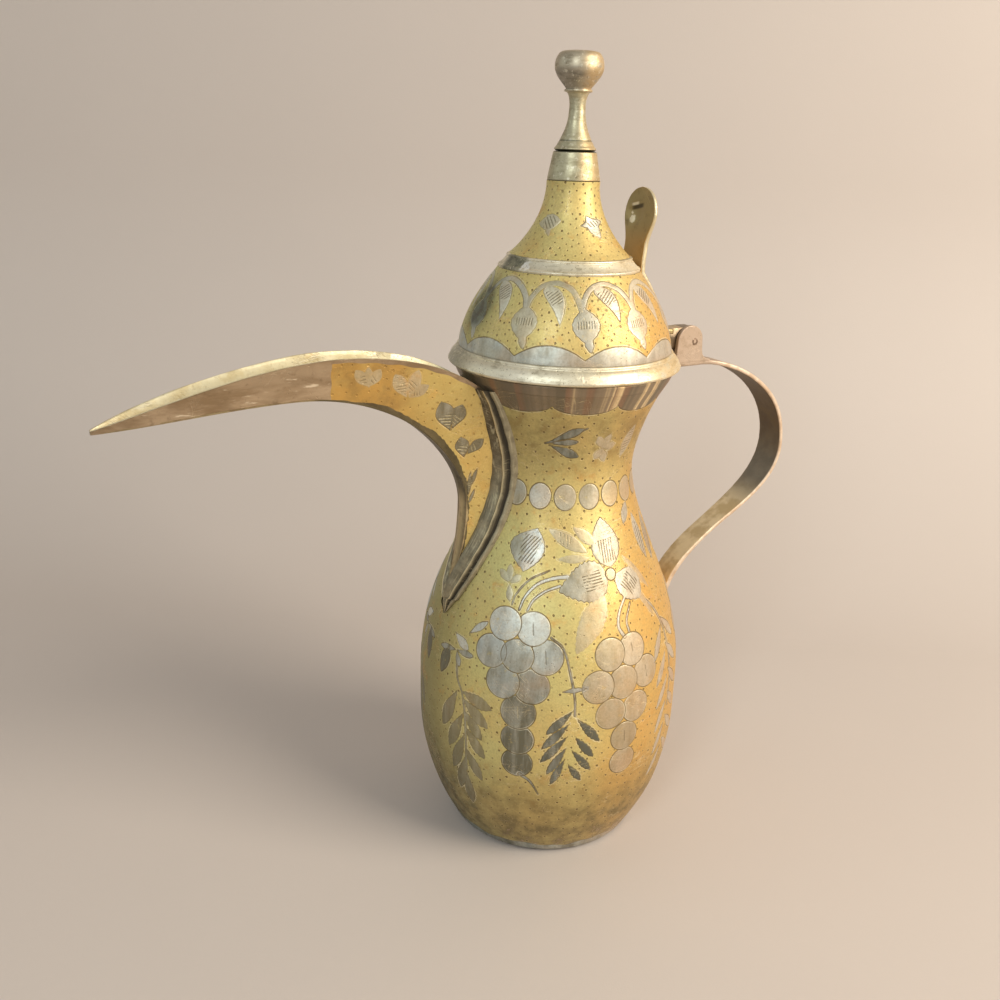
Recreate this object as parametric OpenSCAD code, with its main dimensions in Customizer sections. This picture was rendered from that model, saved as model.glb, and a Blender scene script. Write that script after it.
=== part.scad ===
// Long-beaked hinged-lid coffee pot, built as sheet-metal and turned pieces.
// Frame: origin at the middle of the base, +Z up, spout towards -X, handle and hinge towards +X.

/* [Body] */
// Outer radius of the body where it meets the base plate
base_r = 37.8; // [34:0.2:42]
// Outer radius of the body at its widest
belly_r = 53.2; // [49:0.2:57]
// Height of the widest place above the ground
belly_z = 62; // [54:1:70]
// Outer radius of the neck at its narrowest
waist_r = 28.7; // [26:0.2:31]
// Height of the narrowest place above the ground
waist_z = 156; // [150:1:160]
// Outer radius of the body at the mouth
mouth_r = 39.6; // [38.4:0.2:41]
// Height of the body sheet at the mouth
mouth_z = 188.6; // [185:0.2:192]
// Thickness of the body sheet
body_wall = 1.2; // [0.8:0.1:1.6]
// Thickness of the base plate
base_t = 1.6; // [1:0.1:2.4]
// Height of the ring that edges the mouth
mouth_ring_h = 4; // [3:0.2:5]
// How far the mouth ring stands out past the body sheet
mouth_ring_lip = 2.2; // [1.4:0.2:3]

/* [Spout] */
// Distance from the pot's axis to the tip of the spout
spout_reach = 168; // [156:1:180]
// Height of the top of the beak above the mouth of the body sheet
spout_rise = 12.9; // [10:0.1:16]
// Height of the spout's tip above the ground
spout_tip_z = 182.4; // [178:0.2:188]
// Half width of the spout where it leaves the neck
spout_half_w = 8.2; // [7:0.1:9]
// Half width of the spout halfway along the beak
beak_half_w = 7; // [6:0.1:8]
// Width of the keel strip as a share of the width between the cheeks
keel_share = 0.75; // [0.6:0.05:0.9]
// Thickness of the spout sheet
spout_wall = 1; // [0.8:0.1:1.2]
// Radius of the strainer holes behind the spout
strainer_hole_r = 1.4; // [1:0.1:1.8]
// Rows of strainer holes
strainer_rows = 8; // [4:1:9]
// Height of the point of the V-shaped frame above the ground
frame_point_z = 98; // [94:1:102]
// Width of the frame on each side of the spout
frame_w = 5; // [4:0.2:6]
// How far the frame's outer leaf stands off the body
frame_leaf_t = 1.2; // [0.8:0.1:1.6]
// How far the frame's ridge stands off the body
frame_ridge_t = 2.8; // [2.2:0.1:3.4]

/* [Handle] */
// Width of the handle strap
strap_w = 11; // [9:0.5:13]
// Thickness of the handle strap
strap_t = 2.4; // [1.8:0.1:2.8]
// Distance from the pot's axis to the middle of the strap at its furthest
handle_reach = 109.9; // [102:0.5:118]
// Height of that furthest place above the ground
handle_reach_z = 150; // [144:1:156]
// Height of the top of the strap's lower foot above the ground
foot_top_z = 81; // [76:1:86]
// Length of the strap's lower foot
foot_len = 17; // [14:1:20]
// Radius of the rivet shanks
rivet_r = 1.25; // [1:0.05:1.5]
// Radius of the rivet heads
rivet_head_r = 2.4; // [2:0.1:2.8]

/* [Hinge] */
// Distance from the pot's axis to the hinge pin
pin_x = 57.6; // [56:0.2:60]
// Height of the hinge pin above the body sheet's mouth
pin_rise = 9.1; // [8.6:0.1:10]
// Radius of the hinge pin
pin_r = 1.6; // [1.2:0.1:1.9]
// Thickness of each hinge ear
ear_t = 1.8; // [1.4:0.1:2.2]
// Radius of the rounded top of each ear
ear_r = 6.1; // [5.6:0.1:6.6]
// Radius of the lid leaf's knuckle
knuckle_r = 5.6; // [4.8:0.1:6]
// Thickness of the lid leaf
leaf_t = 2; // [1.4:0.1:2.2]
// Half width of the lid leaf up the back of the dome
leaf_half_w = 6.5; // [5:0.1:8]
// Half width of the thumb piece at its widest
thumb_half_w = 9.5; // [8:0.1:11]
// Height of the thumb piece above the bottom of the lid band
thumb_h = 28.4; // [24:0.2:32]

/* [Lid] */
// Outer radius of the rolled rim
rim_r = 43.5; // [42.6:0.1:44.4]
// Height of the rolled rim
rim_h = 6.4; // [5.4:0.2:7.4]
// Outer radius of the dome at the rim
dome_r = 39.6; // [39:0.1:40.4]
// Height of the dome
dome_h = 28.2; // [26:0.2:30]
// Outer radius of the dome at its band
band_r = 25.8; // [24:0.2:28]
// Height of the band between the dome and the cone
band_h = 4.8; // [4:0.2:5.6]
// Outer radius of the cone just above the band
cone_r = 21.8; // [20.4:0.2:22.6]
// Height of the cone
cone_h = 25.4; // [22:0.2:28]
// Outer radius of the ferrule at its foot
ferrule_r = 9.5; // [8.8:0.1:10.2]
// Outer radius of the ferrule at its top
ferrule_top_r = 8.4; // [8:0.1:8.7]
// Height of the ferrule
ferrule_h = 9.8; // [8:0.2:12]
// Thickness of the lid sheet
lid_wall = 1; // [0.8:0.1:1.3]
// Depth of the collar below the lid's seat
collar_depth = 5.4; // [4:0.2:7]

/* [Finial] */
// Radius of the finial's foot
finial_foot_r = 7.5; // [6.6:0.1:8]
// Radius of the finial's stem at its narrowest
stem_r = 2.9; // [2.6:0.1:3.4]
// Height of the stem
stem_h = 19.2; // [16:0.2:22]
// Radius of the bead under the knob
bead_r = 4.8; // [4.2:0.1:5.4]
// Radius of the knob
knob_r = 8.6; // [7.6:0.1:9.6]
// Height of the knob
knob_h = 12; // [10:0.2:14]
// Radius of the threaded rod inside the finial
rod_r = 1.9; // [1.6:0.05:2.1]

/* [Hidden] */
$fn = 96;

// Clearances
seat_gap = 0.3;      // between the closed lid and the mouth ring
touch = 0.05;        // between pieces of one body that are soldered together
running_fit = 0.06;  // radial, hinge pin in the lid leaf's knuckle
pin_seat = 0.02;     // radial, hinge pin in the ears
side_play = 0.3;     // between the knuckle and each ear
collar_gap = 0.5;    // radial, the lid's collar in the mouth ring
rivet_fit = 0.05;    // radial, rivet shanks and the finial's rod in their holes

// Shape of the body's outline, as exponents of the height
belly_curve = 2.6;
shoulder_curve = 1.3;
flare_curve = 1.65;
body_steps = 48;

// Heights
ring_top_z = mouth_z + mouth_ring_h;
seat_z = ring_top_z + seat_gap;
dome_z = seat_z + rim_h;
band_z = dome_z + dome_h;
cone_z = band_z + band_h;
ferrule_z = cone_z + cone_h;
finial_z = ferrule_z + ferrule_h;
bead_z = finial_z + stem_h;
knob_z = bead_z + 1;
pin_z = mouth_z + pin_rise;

function ease(u) = u * u * (3 - 2 * u);
function within(u) = min(1, max(0, u));
function mix(a, b, u) = a + (b - a) * u;
function spread(a, b, n) = [for (i = [0 : n]) mix(a, b, i / n)];
function bezier(p, t) = p[0] * pow(1 - t, 3) + 3 * p[1] * t * pow(1 - t, 2)
    + 3 * p[2] * t * t * (1 - t) + p[3] * pow(t, 3);
function curve(p, from, to, n) = [for (t = spread(from, to, n)) bezier(p, t)];
function reversed(list) = [for (i = [len(list) - 1 : -1 : 0]) list[i]];
function unit(v) = v / norm(v);

// Unit normals along a run of points, on its left-hand side
function normals(points) = [for (i = [0 : len(points) - 1])
    let (d = points[min(i + 1, len(points) - 1)] - points[max(i - 1, 0)])
    unit([-d[1], d[0]])];

// Outline of a strip of one thickness that follows a run of points
function strip(points, t) = let (n = normals(points)) concat(
    [for (i = [0 : len(points) - 1]) points[i] + n[i] * t / 2],
    reversed([for (i = [0 : len(points) - 1]) points[i] - n[i] * t / 2]));

// Outline between two runs of points that go the same way
function between(outer, inner) = concat(outer, reversed(inner));

// Turns a side-view outline (x, z) into a plate centred on the XZ plane
module side_plate(outline, width)
    rotate([90, 0, 0]) linear_extrude(width, center = true) polygon(outline);

// ---------------------------------------------------------------- body

function body_r(z) =
    z < belly_z ? belly_r - (belly_r - base_r) * pow(1 - z / belly_z, belly_curve)
    : z < waist_z ? belly_r - (belly_r - waist_r)
        * ease(pow((z - belly_z) / (waist_z - belly_z), shoulder_curve))
    : waist_r + (mouth_r - waist_r) * pow((z - waist_z) / (mouth_z - waist_z), flare_curve);

function body_line(from, to, skin) =
    [for (z = spread(from, to, body_steps)) [body_r(z) + skin, z]];

module body_skin(from, to, inside, outside)
    rotate_extrude() polygon(between(body_line(from, to, outside), body_line(from, to, inside)));

// Everything inside the body's outer surface
module body_solid()
    rotate_extrude() polygon(concat([[0, base_t]], body_line(base_t, mouth_z, touch), [[0, mouth_z]]));

// The body's outward slope at a height, in degrees from upright
function body_lean(z) = atan2(body_r(z + 0.5) - body_r(z - 0.5), 1);

// A point at a distance off a slope, square to it: off(point on the slope, lean, distance)
function off(p, lean, d) = p + d * [cos(lean), -sin(lean)];
function off_body(z, d) = off([body_r(z), z], body_lean(z), d);

module base_plate()
    color("#8a7a58") cylinder(r = base_r, h = base_t);

// Rows of strainer holes where the spout meets the neck
strainer_low_z = 118;
strainer_high_z = 178;
strainer_pitch = 4.2;
module strainer_holes()
    for (i = [0 : strainer_rows - 1], j = [-1 : 1])
        translate([0, j * strainer_pitch,
            mix(strainer_low_z, strainer_high_z, i / (strainer_rows - 1)) + abs(j) * strainer_pitch / 2])
            rotate([0, -90, 0]) cylinder(r = strainer_hole_r, h = belly_r + spout_half_w);

module body_shell()
    color("#c2a544") difference() {
        body_skin(base_t, mouth_z, -body_wall, 0);
        strainer_holes();
        foot_rivet_holes();
        neck_rivet_holes();
    }

ring_inner_r = mouth_r - body_wall;
ring_outer_r = mouth_r + mouth_ring_lip;
ring_edge = mouth_ring_h / 4;
module mouth_ring()
    color("#b7ab93") rotate_extrude() polygon([
        [ring_inner_r, mouth_z], [ring_outer_r - ring_edge, mouth_z],
        [ring_outer_r, mouth_z + ring_edge], [ring_outer_r, ring_top_z - ring_edge],
        [ring_outer_r - ring_edge, ring_top_z], [ring_inner_r, ring_top_z]]);

// What the mouth ring takes up, cut out of the pieces soldered on around it
module mouth_ring_space()
    translate([0, 0, mouth_z - touch]) cylinder(r = ring_outer_r + touch, h = mouth_ring_h + touch);

// ---------------------------------------------------------------- spout

// Side view of the spout, as [distance from the axis, height]. The keel runs up from the root,
// turns out under the beak and runs to the tip; the brim runs from the mouth to the tip.
spout_root_z = frame_point_z + 7;
root_full_z = frame_point_z + 44;
keel_knee = [waist_r + 12.6, root_full_z];
keel_crest = [104, mouth_z - 0.5];
brim_start = [mouth_r - 2.3, mouth_z - 2.1];
brim_crest = [91, mouth_z + spout_rise];
tip_height = 1.2;
keel_low = [[body_r(spout_root_z) + 1.2, spout_root_z], [keel_knee[0] + 3, spout_root_z + 13],
    [keel_knee[0], root_full_z - 14], keel_knee];
keel_mid = [keel_knee, [keel_knee[0], root_full_z + 18], keel_crest - [38, 0], keel_crest];
keel_high = [keel_crest, keel_crest + [14, 0], [spout_reach - 23, spout_tip_z + 3.2],
    [spout_reach, spout_tip_z]];
brim_low = [brim_start, brim_start + [12.7, 10.5], brim_crest - [21, 0], brim_crest];
brim_high = [brim_crest, brim_crest + [21, 0], [spout_reach - 22, spout_tip_z + 10.1],
    [spout_reach, spout_tip_z + tip_height]];
keel_split = 0.2;    // share of keel_mid that faces the neck
root_steps = 12;
beak_steps = 9;
beak_shoulder = spout_reach - 38;
tip_half_w = 0.9;

// Half width of the spout where it meets the neck, at a height
function root_half_w(z) =
    spout_half_w * (1 - pow(1 - within((z - spout_root_z + 2) / (root_full_z - spout_root_z + 2)), 2));

// Half width of the spout's brim, at a distance from the axis
function brim_half_w(x) = x < beak_shoulder
    ? mix(spout_half_w, beak_half_w, (x - brim_start[0]) / (beak_shoulder - brim_start[0]))
    : mix(tip_half_w, beak_half_w,
        pow(1 - pow((x - beak_shoulder) / (spout_reach - beak_shoulder), 2), 0.7));

// Sections of the spout: [keel point, upper point, upper half width]
function root_section(z) = let (
        u = (z - spout_root_z) / (brim_start[1] - spout_root_z),
        w = root_half_w(z),
        r = body_r(z) - body_wall / 2,
        knee = (root_full_z - spout_root_z) / (brim_start[1] - spout_root_z))
    [u < knee ? bezier(keel_low, u / knee) : bezier(keel_mid, keel_split * (u - knee) / (1 - knee)),
        [sqrt(r * r - w * w), z], w];
function beak_section(keel, kt, brim, bt) =
    let (p = bezier(brim, bt)) [bezier(keel, kt), p, brim_half_w(p[0])];
spout_sections = concat(
    [for (z = spread(spout_root_z, brim_start[1], root_steps)) root_section(z)],
    [for (i = [1 : beak_steps]) let (t = i / beak_steps)
        beak_section(keel_mid, mix(keel_split, 1, t), brim_low, t)],
    [for (i = [1 : beak_steps]) let (t = i / beak_steps) beak_section(keel_high, t, brim_high, t)]);

// A run of four-cornered sections joined into one closed skin; rings turn clockwise seen from the start
module loft(rings) {
    n = len(rings);
    points = [for (ring = rings) each ring];
    sides = [for (i = [0 : n - 2], k = [0 : 3])
        let (a = 4 * i + k, b = 4 * i + (k + 1) % 4)
        each [[a, b, b + 4], [a, b + 4, a + 4]]];
    first = [[2, 1, 0], [3, 2, 0]];
    last = [for (f = [[0, 1, 2], [0, 2, 3]]) [for (v = f) v + 4 * (n - 1)]];
    polyhedron(points, concat(sides, first, last), convexity = 6);
}

// Inner half width of a wall whose outer half width is w
function wall_inside(w) = max(w - spout_wall, 0.1);

// One cheek, on the +Y side before any mirroring
module spout_cheek()
    difference() {
        loft([for (s = spout_sections) let (low = s[2] * keel_share)
            [[-s[0][0], low, s[0][1]], [-s[1][0], s[2], s[1][1]],
                [-s[1][0], wall_inside(s[2]), s[1][1]], [-s[0][0], wall_inside(low), s[0][1]]]]);
        body_solid();
        mouth_ring_space();
    }

module spout_cheek_left() color("#c9a24a") mirror([0, 1, 0]) spout_cheek();
module spout_cheek_right() color("#c9a24a") spout_cheek();

// The keel strip closes the spout from below, between the cheeks
module spout_keel()
    color("#6f6553") difference() {
        loft([for (s = spout_sections)
            let (w = wall_inside(s[2] * keel_share) - touch, a = s[0], b = a + unit(s[1] - a) * spout_wall)
            [[-a[0], w, a[1]], [-b[0], w, b[1]], [-b[0], -w, b[1]], [-a[0], -w, a[1]]]]);
        body_solid();
        mouth_ring_space();
    }

// Front-view edge of the frame at a height, a share of the frame's width out from the spout
function frame_edge(z, share) = z < spout_root_z
    ? frame_w * share * pow(within((z - frame_point_z) / (spout_root_z - frame_point_z)), 0.8)
    : root_half_w(z) + touch + frame_w * share;

frame_top_z = mouth_z - 1.6;
frame_steps = 32;
module frame_band(from, to, skin)
    intersection() {
        body_skin(frame_point_z, frame_top_z, touch, skin);
        rotate([90, 0, -90]) linear_extrude(belly_r + 10) polygon(between(
            [for (z = spread(frame_point_z + 0.5, frame_top_z, frame_steps)) [frame_edge(z, from), z]],
            [for (z = spread(frame_point_z + 0.5, frame_top_z, frame_steps)) [frame_edge(z, to), z]]));
    }

// One side of the raised frame that covers the joint between the spout and the neck
module spout_frame()
    union() {
        frame_band(0, 1, frame_leaf_t);
        frame_band(0, 0.65, mix(frame_leaf_t, frame_ridge_t, 0.6));
        frame_band(0.48, 0.65, frame_ridge_t);
    }
module spout_frame_left() color("#857b68") spout_frame();
module spout_frame_right() color("#857b68") mirror([0, 1, 0]) spout_frame();

// ---------------------------------------------------------------- handle

strap_z = mouth_z + 0.6;
neck_foot_low_z = mouth_z - 15;
neck_foot_high_z = mouth_z - 6.2;
strap_off = strap_t / 2 + touch;
foot_low_z = foot_top_z - foot_len;
bracket_start_x = ring_outer_r + 4;
strap_end_x = pin_x + 4.4;
neck_bend = [off_body(neck_foot_high_z, strap_off), [ring_outer_r - 0.2, mouth_z - 1.2],
    [bracket_start_x, strap_z], [bracket_start_x + 4, strap_z]];
handle_top = [[strap_end_x, strap_z], [strap_end_x + 24, strap_z - 1.2],
    [handle_reach, handle_reach_z + 23], [handle_reach, handle_reach_z]];
// Where the strap straightens on its way in to the body, and the run of that straight
handle_elbow = [handle_reach - 25.4, handle_reach_z - 30.7];
elbow_run = [14, 8.8];
handle_low = [handle_top[3], [handle_reach, handle_reach_z - 13],
    handle_elbow + elbow_run, handle_elbow];
handle_tail = [handle_elbow, handle_elbow - elbow_run,
    off_body(foot_top_z + foot_len, 6), off_body(foot_top_z, strap_off)];
curve_steps = 12;
strap_line = concat(
    [for (z = spread(neck_foot_low_z, neck_foot_high_z, 3)) off_body(z, strap_off)],
    curve(neck_bend, 0.2, 1, 6),
    curve(handle_top, 0, 1, curve_steps),
    curve(handle_low, 1 / curve_steps, 1, curve_steps - 1),
    curve(handle_tail, 1 / curve_steps, 1, curve_steps - 1),
    [for (z = spread(foot_top_z - foot_len / 5, foot_low_z, 4)) off_body(z, strap_off)]);

module handle_strap()
    color("#b59f8b") difference() {
        side_plate(strip(strap_line, strap_t), strap_w);
        foot_rivet_holes();
        neck_rivet_holes();
    }

// Rivets: a shank through the sheet and the strap, a domed head outside and a flat one inside
rivet_head_h = 1.2;
module rivet(grip)
    union() {
        translate([0, 0, -grip - 0.8]) cylinder(r = rivet_head_r * 0.85, h = 0.8 - touch);
        translate([0, 0, -grip - 0.4]) cylinder(r = rivet_r, h = grip + 0.8);
        translate([0, 0, touch]) intersection() {
            cylinder(r = rivet_head_r, h = rivet_head_h);
            translate([0, 0, rivet_head_h - 4]) sphere(r = 4);
        }
    }

// Puts a thing made along +Z on the back of the body at a height, off its surface by a distance
module on_back(z, d)
    translate([body_r(z), 0, z]) rotate([0, 90 + body_lean(z), 0]) translate([0, 0, d]) children();

foot_rivet_z = [foot_low_z + foot_len * 0.28, foot_low_z + foot_len * 0.72];
neck_rivet_z = [neck_foot_low_z + 3.4];
strap_grip = body_wall + strap_t + touch;
module rivet_hole()
    translate([0, 0, -strap_grip - 3]) cylinder(r = rivet_r + rivet_fit, h = strap_grip + 6);
module foot_rivet_holes() for (z = foot_rivet_z) on_back(z, strap_t) rivet_hole();
module neck_rivet_holes() for (z = neck_rivet_z) on_back(z, strap_t) rivet_hole();
module strap_rivets(heights)
    for (z = heights) on_back(z, strap_t + 2 * touch) rivet(strap_grip + 2 * touch);
module handle_foot_rivets() color("#a8937c") strap_rivets(foot_rivet_z);
module neck_rivets() color("#a8937c") strap_rivets(neck_rivet_z);

// ---------------------------------------------------------------- hinge

bracket_floor_t = 1.2;
bracket_low_z = strap_z + strap_t / 2 + touch;
ear_inner_y = strap_w / 2 - ear_t;
ear_mid = [pin_x - 2.2, pin_z + 0.5];
ear_foot = [pin_x - 8.4, strap_end_x + 0.3];
module ear_outline()
    union() {
        translate(ear_mid) circle(r = ear_r);
        polygon([[ear_foot[0], bracket_low_z], [ear_mid[0] - ear_r, ear_mid[1]],
            [ear_mid[0] + ear_r * 0.96, ear_mid[1] + ear_r * 0.28], [ear_foot[1], bracket_low_z]]);
    }

module hinge_bracket()
    color("#b9a592") difference() {
        union() {
            translate([bracket_start_x, -strap_w / 2, bracket_low_z])
                cube([ear_foot[1] - bracket_start_x, strap_w, bracket_floor_t]);
            for (side = [-1, 1])
                translate([0, side * (strap_w - ear_t) / 2, 0]) rotate([90, 0, 0])
                    linear_extrude(ear_t, center = true) ear_outline();
        }
        translate([pin_x, 0, pin_z]) rotate([90, 0, 0])
            cylinder(r = pin_r + pin_seat, h = strap_w + 2, center = true);
    }

pin_head_r = pin_r + 0.7;
pin_head_t = 0.7;
module hinge_pin()
    color("#cbbba6") translate([pin_x, 0, pin_z]) rotate([90, 0, 0]) union() {
        cylinder(r = pin_r, h = strap_w + 0.6, center = true);
        for (side = [0, 1]) mirror([0, 0, side])
            translate([0, 0, strap_w / 2 + touch]) cylinder(r = pin_head_r, h = pin_head_t);
    }

// ---------------------------------------------------------------- lid

dome_curve = 1.72;
cone_curve = 2.05;
lid_steps = 16;
function dome_at(z) = dome_r - (dome_r - band_r) * pow((z - dome_z) / dome_h, dome_curve);
function cone_at(z) = ferrule_r + (cone_r - ferrule_r) * pow(1 - (z - cone_z) / cone_h, cone_curve);
function dome_lean(z) = atan2(dome_at(z + 0.1) - dome_at(z - 0.1), 0.2);
function off_dome(z, d) = off([dome_at(z), z], dome_lean(z), d);
function dome_line(skin) = [for (z = spread(dome_z, band_z, lid_steps)) [dome_at(z) + skin, z]];
function cone_line(skin) = [for (z = spread(cone_z, ferrule_z, lid_steps)) [cone_at(z) + skin, z]];

// The collar drops into the mouth and centres the lid; it tapers so that it swings out clear
collar_top_r = ring_inner_r - collar_gap;
collar_foot_r = collar_top_r - 1;
rim_inner_r = collar_top_r + touch;
module lid_collar()
    color("#a99a80") rotate_extrude() polygon([
        [collar_foot_r, seat_z - collar_depth], [collar_top_r, seat_z],
        [collar_top_r, dome_z - touch], [collar_top_r - lid_wall, dome_z - touch],
        [collar_top_r - lid_wall, seat_z], [collar_foot_r - lid_wall, seat_z - collar_depth]]);

rim_roll = 1.5;
module lid_rim()
    color("#c9c2b0") rotate_extrude() union() {
        translate([rim_r - rim_roll, seat_z + rim_roll]) circle(r = rim_roll);
        polygon([[rim_inner_r, seat_z], [rim_r - rim_roll, seat_z],
            [rim_r - rim_roll, seat_z + 2 * rim_roll],
            [mix(dome_r, rim_r - rim_roll, 0.45), mix(seat_z, dome_z, 0.6)],
            [dome_r + 0.7, dome_z - 0.9], [dome_r + 0.6, dome_z - touch], [rim_inner_r, dome_z - touch]]);
    }

module lid_dome()
    color("#c8b04a") difference() {
        rotate_extrude() polygon(between(dome_line(0), dome_line(-lid_wall)));
        leaf_rivet_holes();
    }

band_bead = 0.5;
module lid_band()
    color("#cbc3ae") rotate_extrude() union() {
        polygon([[band_r - 2 * lid_wall, band_z + touch], [band_r + 0.3, band_z + touch],
            [cone_r + 0.3, cone_z - touch], [cone_r - 2 * lid_wall, cone_z - touch]]);
        for (u = [0.12, 0.88])
            translate([mix(band_r, cone_r, u) + 0.3, mix(band_z, cone_z, u)]) circle(r = band_bead);
    }

module lid_cone()
    color("#c8b04a") rotate_extrude() polygon(between(cone_line(0), cone_line(-lid_wall)));

ferrule_cap_t = 1.6;
module lid_ferrule()
    color("#c9c2b0") rotate_extrude() polygon([
        [ferrule_r - lid_wall, ferrule_z + touch], [ferrule_r + 0.3, ferrule_z + touch],
        [ferrule_r + 0.2, ferrule_z + 1], [ferrule_top_r, finial_z - 0.6], [ferrule_top_r - 0.5, finial_z],
        [rod_r + rivet_fit, finial_z], [rod_r + rivet_fit, finial_z - ferrule_cap_t],
        [ferrule_top_r - lid_wall, finial_z - ferrule_cap_t]]);

// ---------------------------------------------------------------- finial

waist_share = 0.64;   // how far up the stem its narrowest place lies
knob_flat_share = 0.68;
rod_depth = 7;
function stem_at(u) = u < waist_share
    ? stem_r + (finial_foot_r - stem_r) * pow(1 - u / waist_share, 2.1)
    : stem_r + (bead_r - 0.5 - stem_r) * pow((u - waist_share) / (1 - waist_share), 1.8);
// Knob: swells from its neck to its full radius two thirds up, then rounds in to a flattened top
function knob_at(u) = u < 0.66
    ? mix(bead_r - 0.5, knob_r, sin(90 * pow(u / 0.66, 0.75)))
    : mix(knob_r * knob_flat_share, knob_r, sqrt(max(0, 1 - pow((u - 0.66) / 0.34, 2.4))));
module finial()
    color("#bfae95") rotate_extrude() difference() {
        union() {
            polygon(concat([[0, finial_z + touch]],
                [for (u = spread(0, 1, 20)) [stem_at(u), mix(finial_z + touch, bead_z, u)]],
                [[bead_r - 0.5, knob_z]],
                [for (u = spread(0, 1, 20)) [knob_at(u), mix(knob_z, knob_z + knob_h, u)]],
                [[0, knob_z + knob_h + 0.1]]));
            translate([bead_r - 0.5, (bead_z + knob_z) / 2]) circle(r = 0.5);
        }
        translate([-1, finial_z - 1]) square([rod_r + rivet_fit + 1, rod_depth + 1]);
    }

washer_t = 1.2;
washer_r = ferrule_top_r - lid_wall - 1.2;
nut_t = 3;
nut_r = 3.9;
washer_z = finial_z - ferrule_cap_t - touch - washer_t;
nut_z = washer_z - touch - nut_t;
rod_low_z = nut_z - 1.4;
rod_high_z = finial_z + rod_depth - 0.2;
module finial_rod()
    color("#8f8468") translate([0, 0, rod_low_z]) cylinder(r = rod_r, h = rod_high_z - rod_low_z);
module finial_washer()
    color("#8f8468") translate([0, 0, washer_z]) difference() {
        cylinder(r = washer_r, h = washer_t);
        translate([0, 0, -1]) cylinder(r = rod_r + rivet_fit, h = washer_t + 2);
    }
module finial_nut()
    color("#8f8468") translate([0, 0, nut_z]) difference() {
        cylinder(r = nut_r, h = nut_t, $fn = 6);
        translate([0, 0, -1]) cylinder(r = rod_r + rivet_fit, h = nut_t + 2);
    }

// ---------------------------------------------------------------- lid leaf

// One strip: rolled round the pin, flat to the dome, up the dome's back, and on as the thumb piece
leaf_off = leaf_t / 2 + touch;
leaf_flat_z = pin_z + knuckle_r - leaf_t / 2;
leaf_turn_z = dome_z + 6.4;
thumb_top_z = band_z + thumb_h;
thumb_x = band_r + 5.2;
leaf_turn = off_dome(leaf_turn_z, leaf_off);
leaf_corner = [[pin_x, leaf_flat_z], [leaf_turn[0] + 5, leaf_flat_z],
    [leaf_turn[0] + 0.8, leaf_flat_z], leaf_turn];
leaf_leave_z = band_z - 3;
thumb_line = [off_dome(leaf_leave_z, leaf_off), [band_r + 2.6, band_z + 3],
    [thumb_x - 1, band_z + 9], [thumb_x, thumb_top_z]];
leaf_line = concat(curve(leaf_corner, 0, 1, 10),
    [for (z = spread(leaf_turn_z + 2, leaf_leave_z - 2, 6)) off_dome(z, leaf_off)],
    curve(thumb_line, 0, 1, 12));

// Front-view half width of the leaf at a height
thumb_mid_z = thumb_top_z - thumb_half_w;
thumb_neck_z = band_z + 8;
function leaf_half(z) = z < thumb_neck_z ? leaf_half_w
    : z < thumb_mid_z
        ? mix(leaf_half_w, thumb_half_w, ease((z - thumb_neck_z) / (thumb_mid_z - thumb_neck_z)))
    : sqrt(max(0.04, thumb_half_w * thumb_half_w - pow(z - thumb_mid_z, 2)));
leaf_wide_z = leaf_flat_z - leaf_t;
leaf_front = [for (z = concat([leaf_wide_z], spread(thumb_neck_z, thumb_mid_z, 8),
    [for (a = [10 : 10 : 90]) thumb_mid_z + thumb_half_w * sin(a)])) [leaf_half(z), z]];
ear_side_x = ear_foot[0] - 1.2;

module lid_leaf()
    color("#9c8d56") difference() {
        union() {
            translate([pin_x, 0, pin_z]) rotate([90, 0, 0])
                cylinder(r = knuckle_r, h = 2 * (ear_inner_y - side_play), center = true);
            side_plate(strip(leaf_line, leaf_t), 2 * (ear_inner_y - side_play));
            intersection() {
                side_plate(strip(leaf_line, leaf_t), 2 * thumb_half_w + 2);
                rotate([90, 0, 90]) linear_extrude(ear_side_x)
                    polygon(concat(leaf_front, reversed([for (p = leaf_front) [-p[0], p[1]]])));
            }
        }
        translate([pin_x, 0, pin_z]) rotate([90, 0, 0])
            cylinder(r = pin_r + running_fit, h = strap_w, center = true);
        leaf_rivet_holes();
    }

leaf_rivet_z = [dome_z + 10.5, dome_z + 19];
leaf_grip = lid_wall + leaf_t + touch;
module on_dome(z, d)
    translate([dome_at(z), 0, z]) rotate([0, 90 + dome_lean(z), 0]) translate([0, 0, d]) children();
module leaf_rivet_holes()
    for (z = leaf_rivet_z) on_dome(z, leaf_t)
        translate([0, 0, -leaf_grip - 3]) cylinder(r = rivet_r + rivet_fit, h = leaf_grip + 6);
module leaf_rivets()
    color("#a8937c") for (z = leaf_rivet_z) on_dome(z, leaf_t + 3 * touch) rivet(leaf_grip + 4 * touch);

// ---------------------------------------------------------------- nodes

base_plate();
body_shell();
mouth_ring();
spout_cheek_left();
spout_cheek_right();
spout_keel();
spout_frame_left();
spout_frame_right();
handle_strap();
handle_foot_rivets();
neck_rivets();
hinge_bracket();
hinge_pin();
lid_collar();
lid_rim();
lid_dome();
lid_band();
lid_cone();
lid_ferrule();
finial();
finial_rod();
finial_nut();
finial_washer();
lid_leaf();
leaf_rivets();
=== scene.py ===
import math

import bmesh
import bpy
import numpy as np
from mathutils import kdtree, Matrix, Vector


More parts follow.
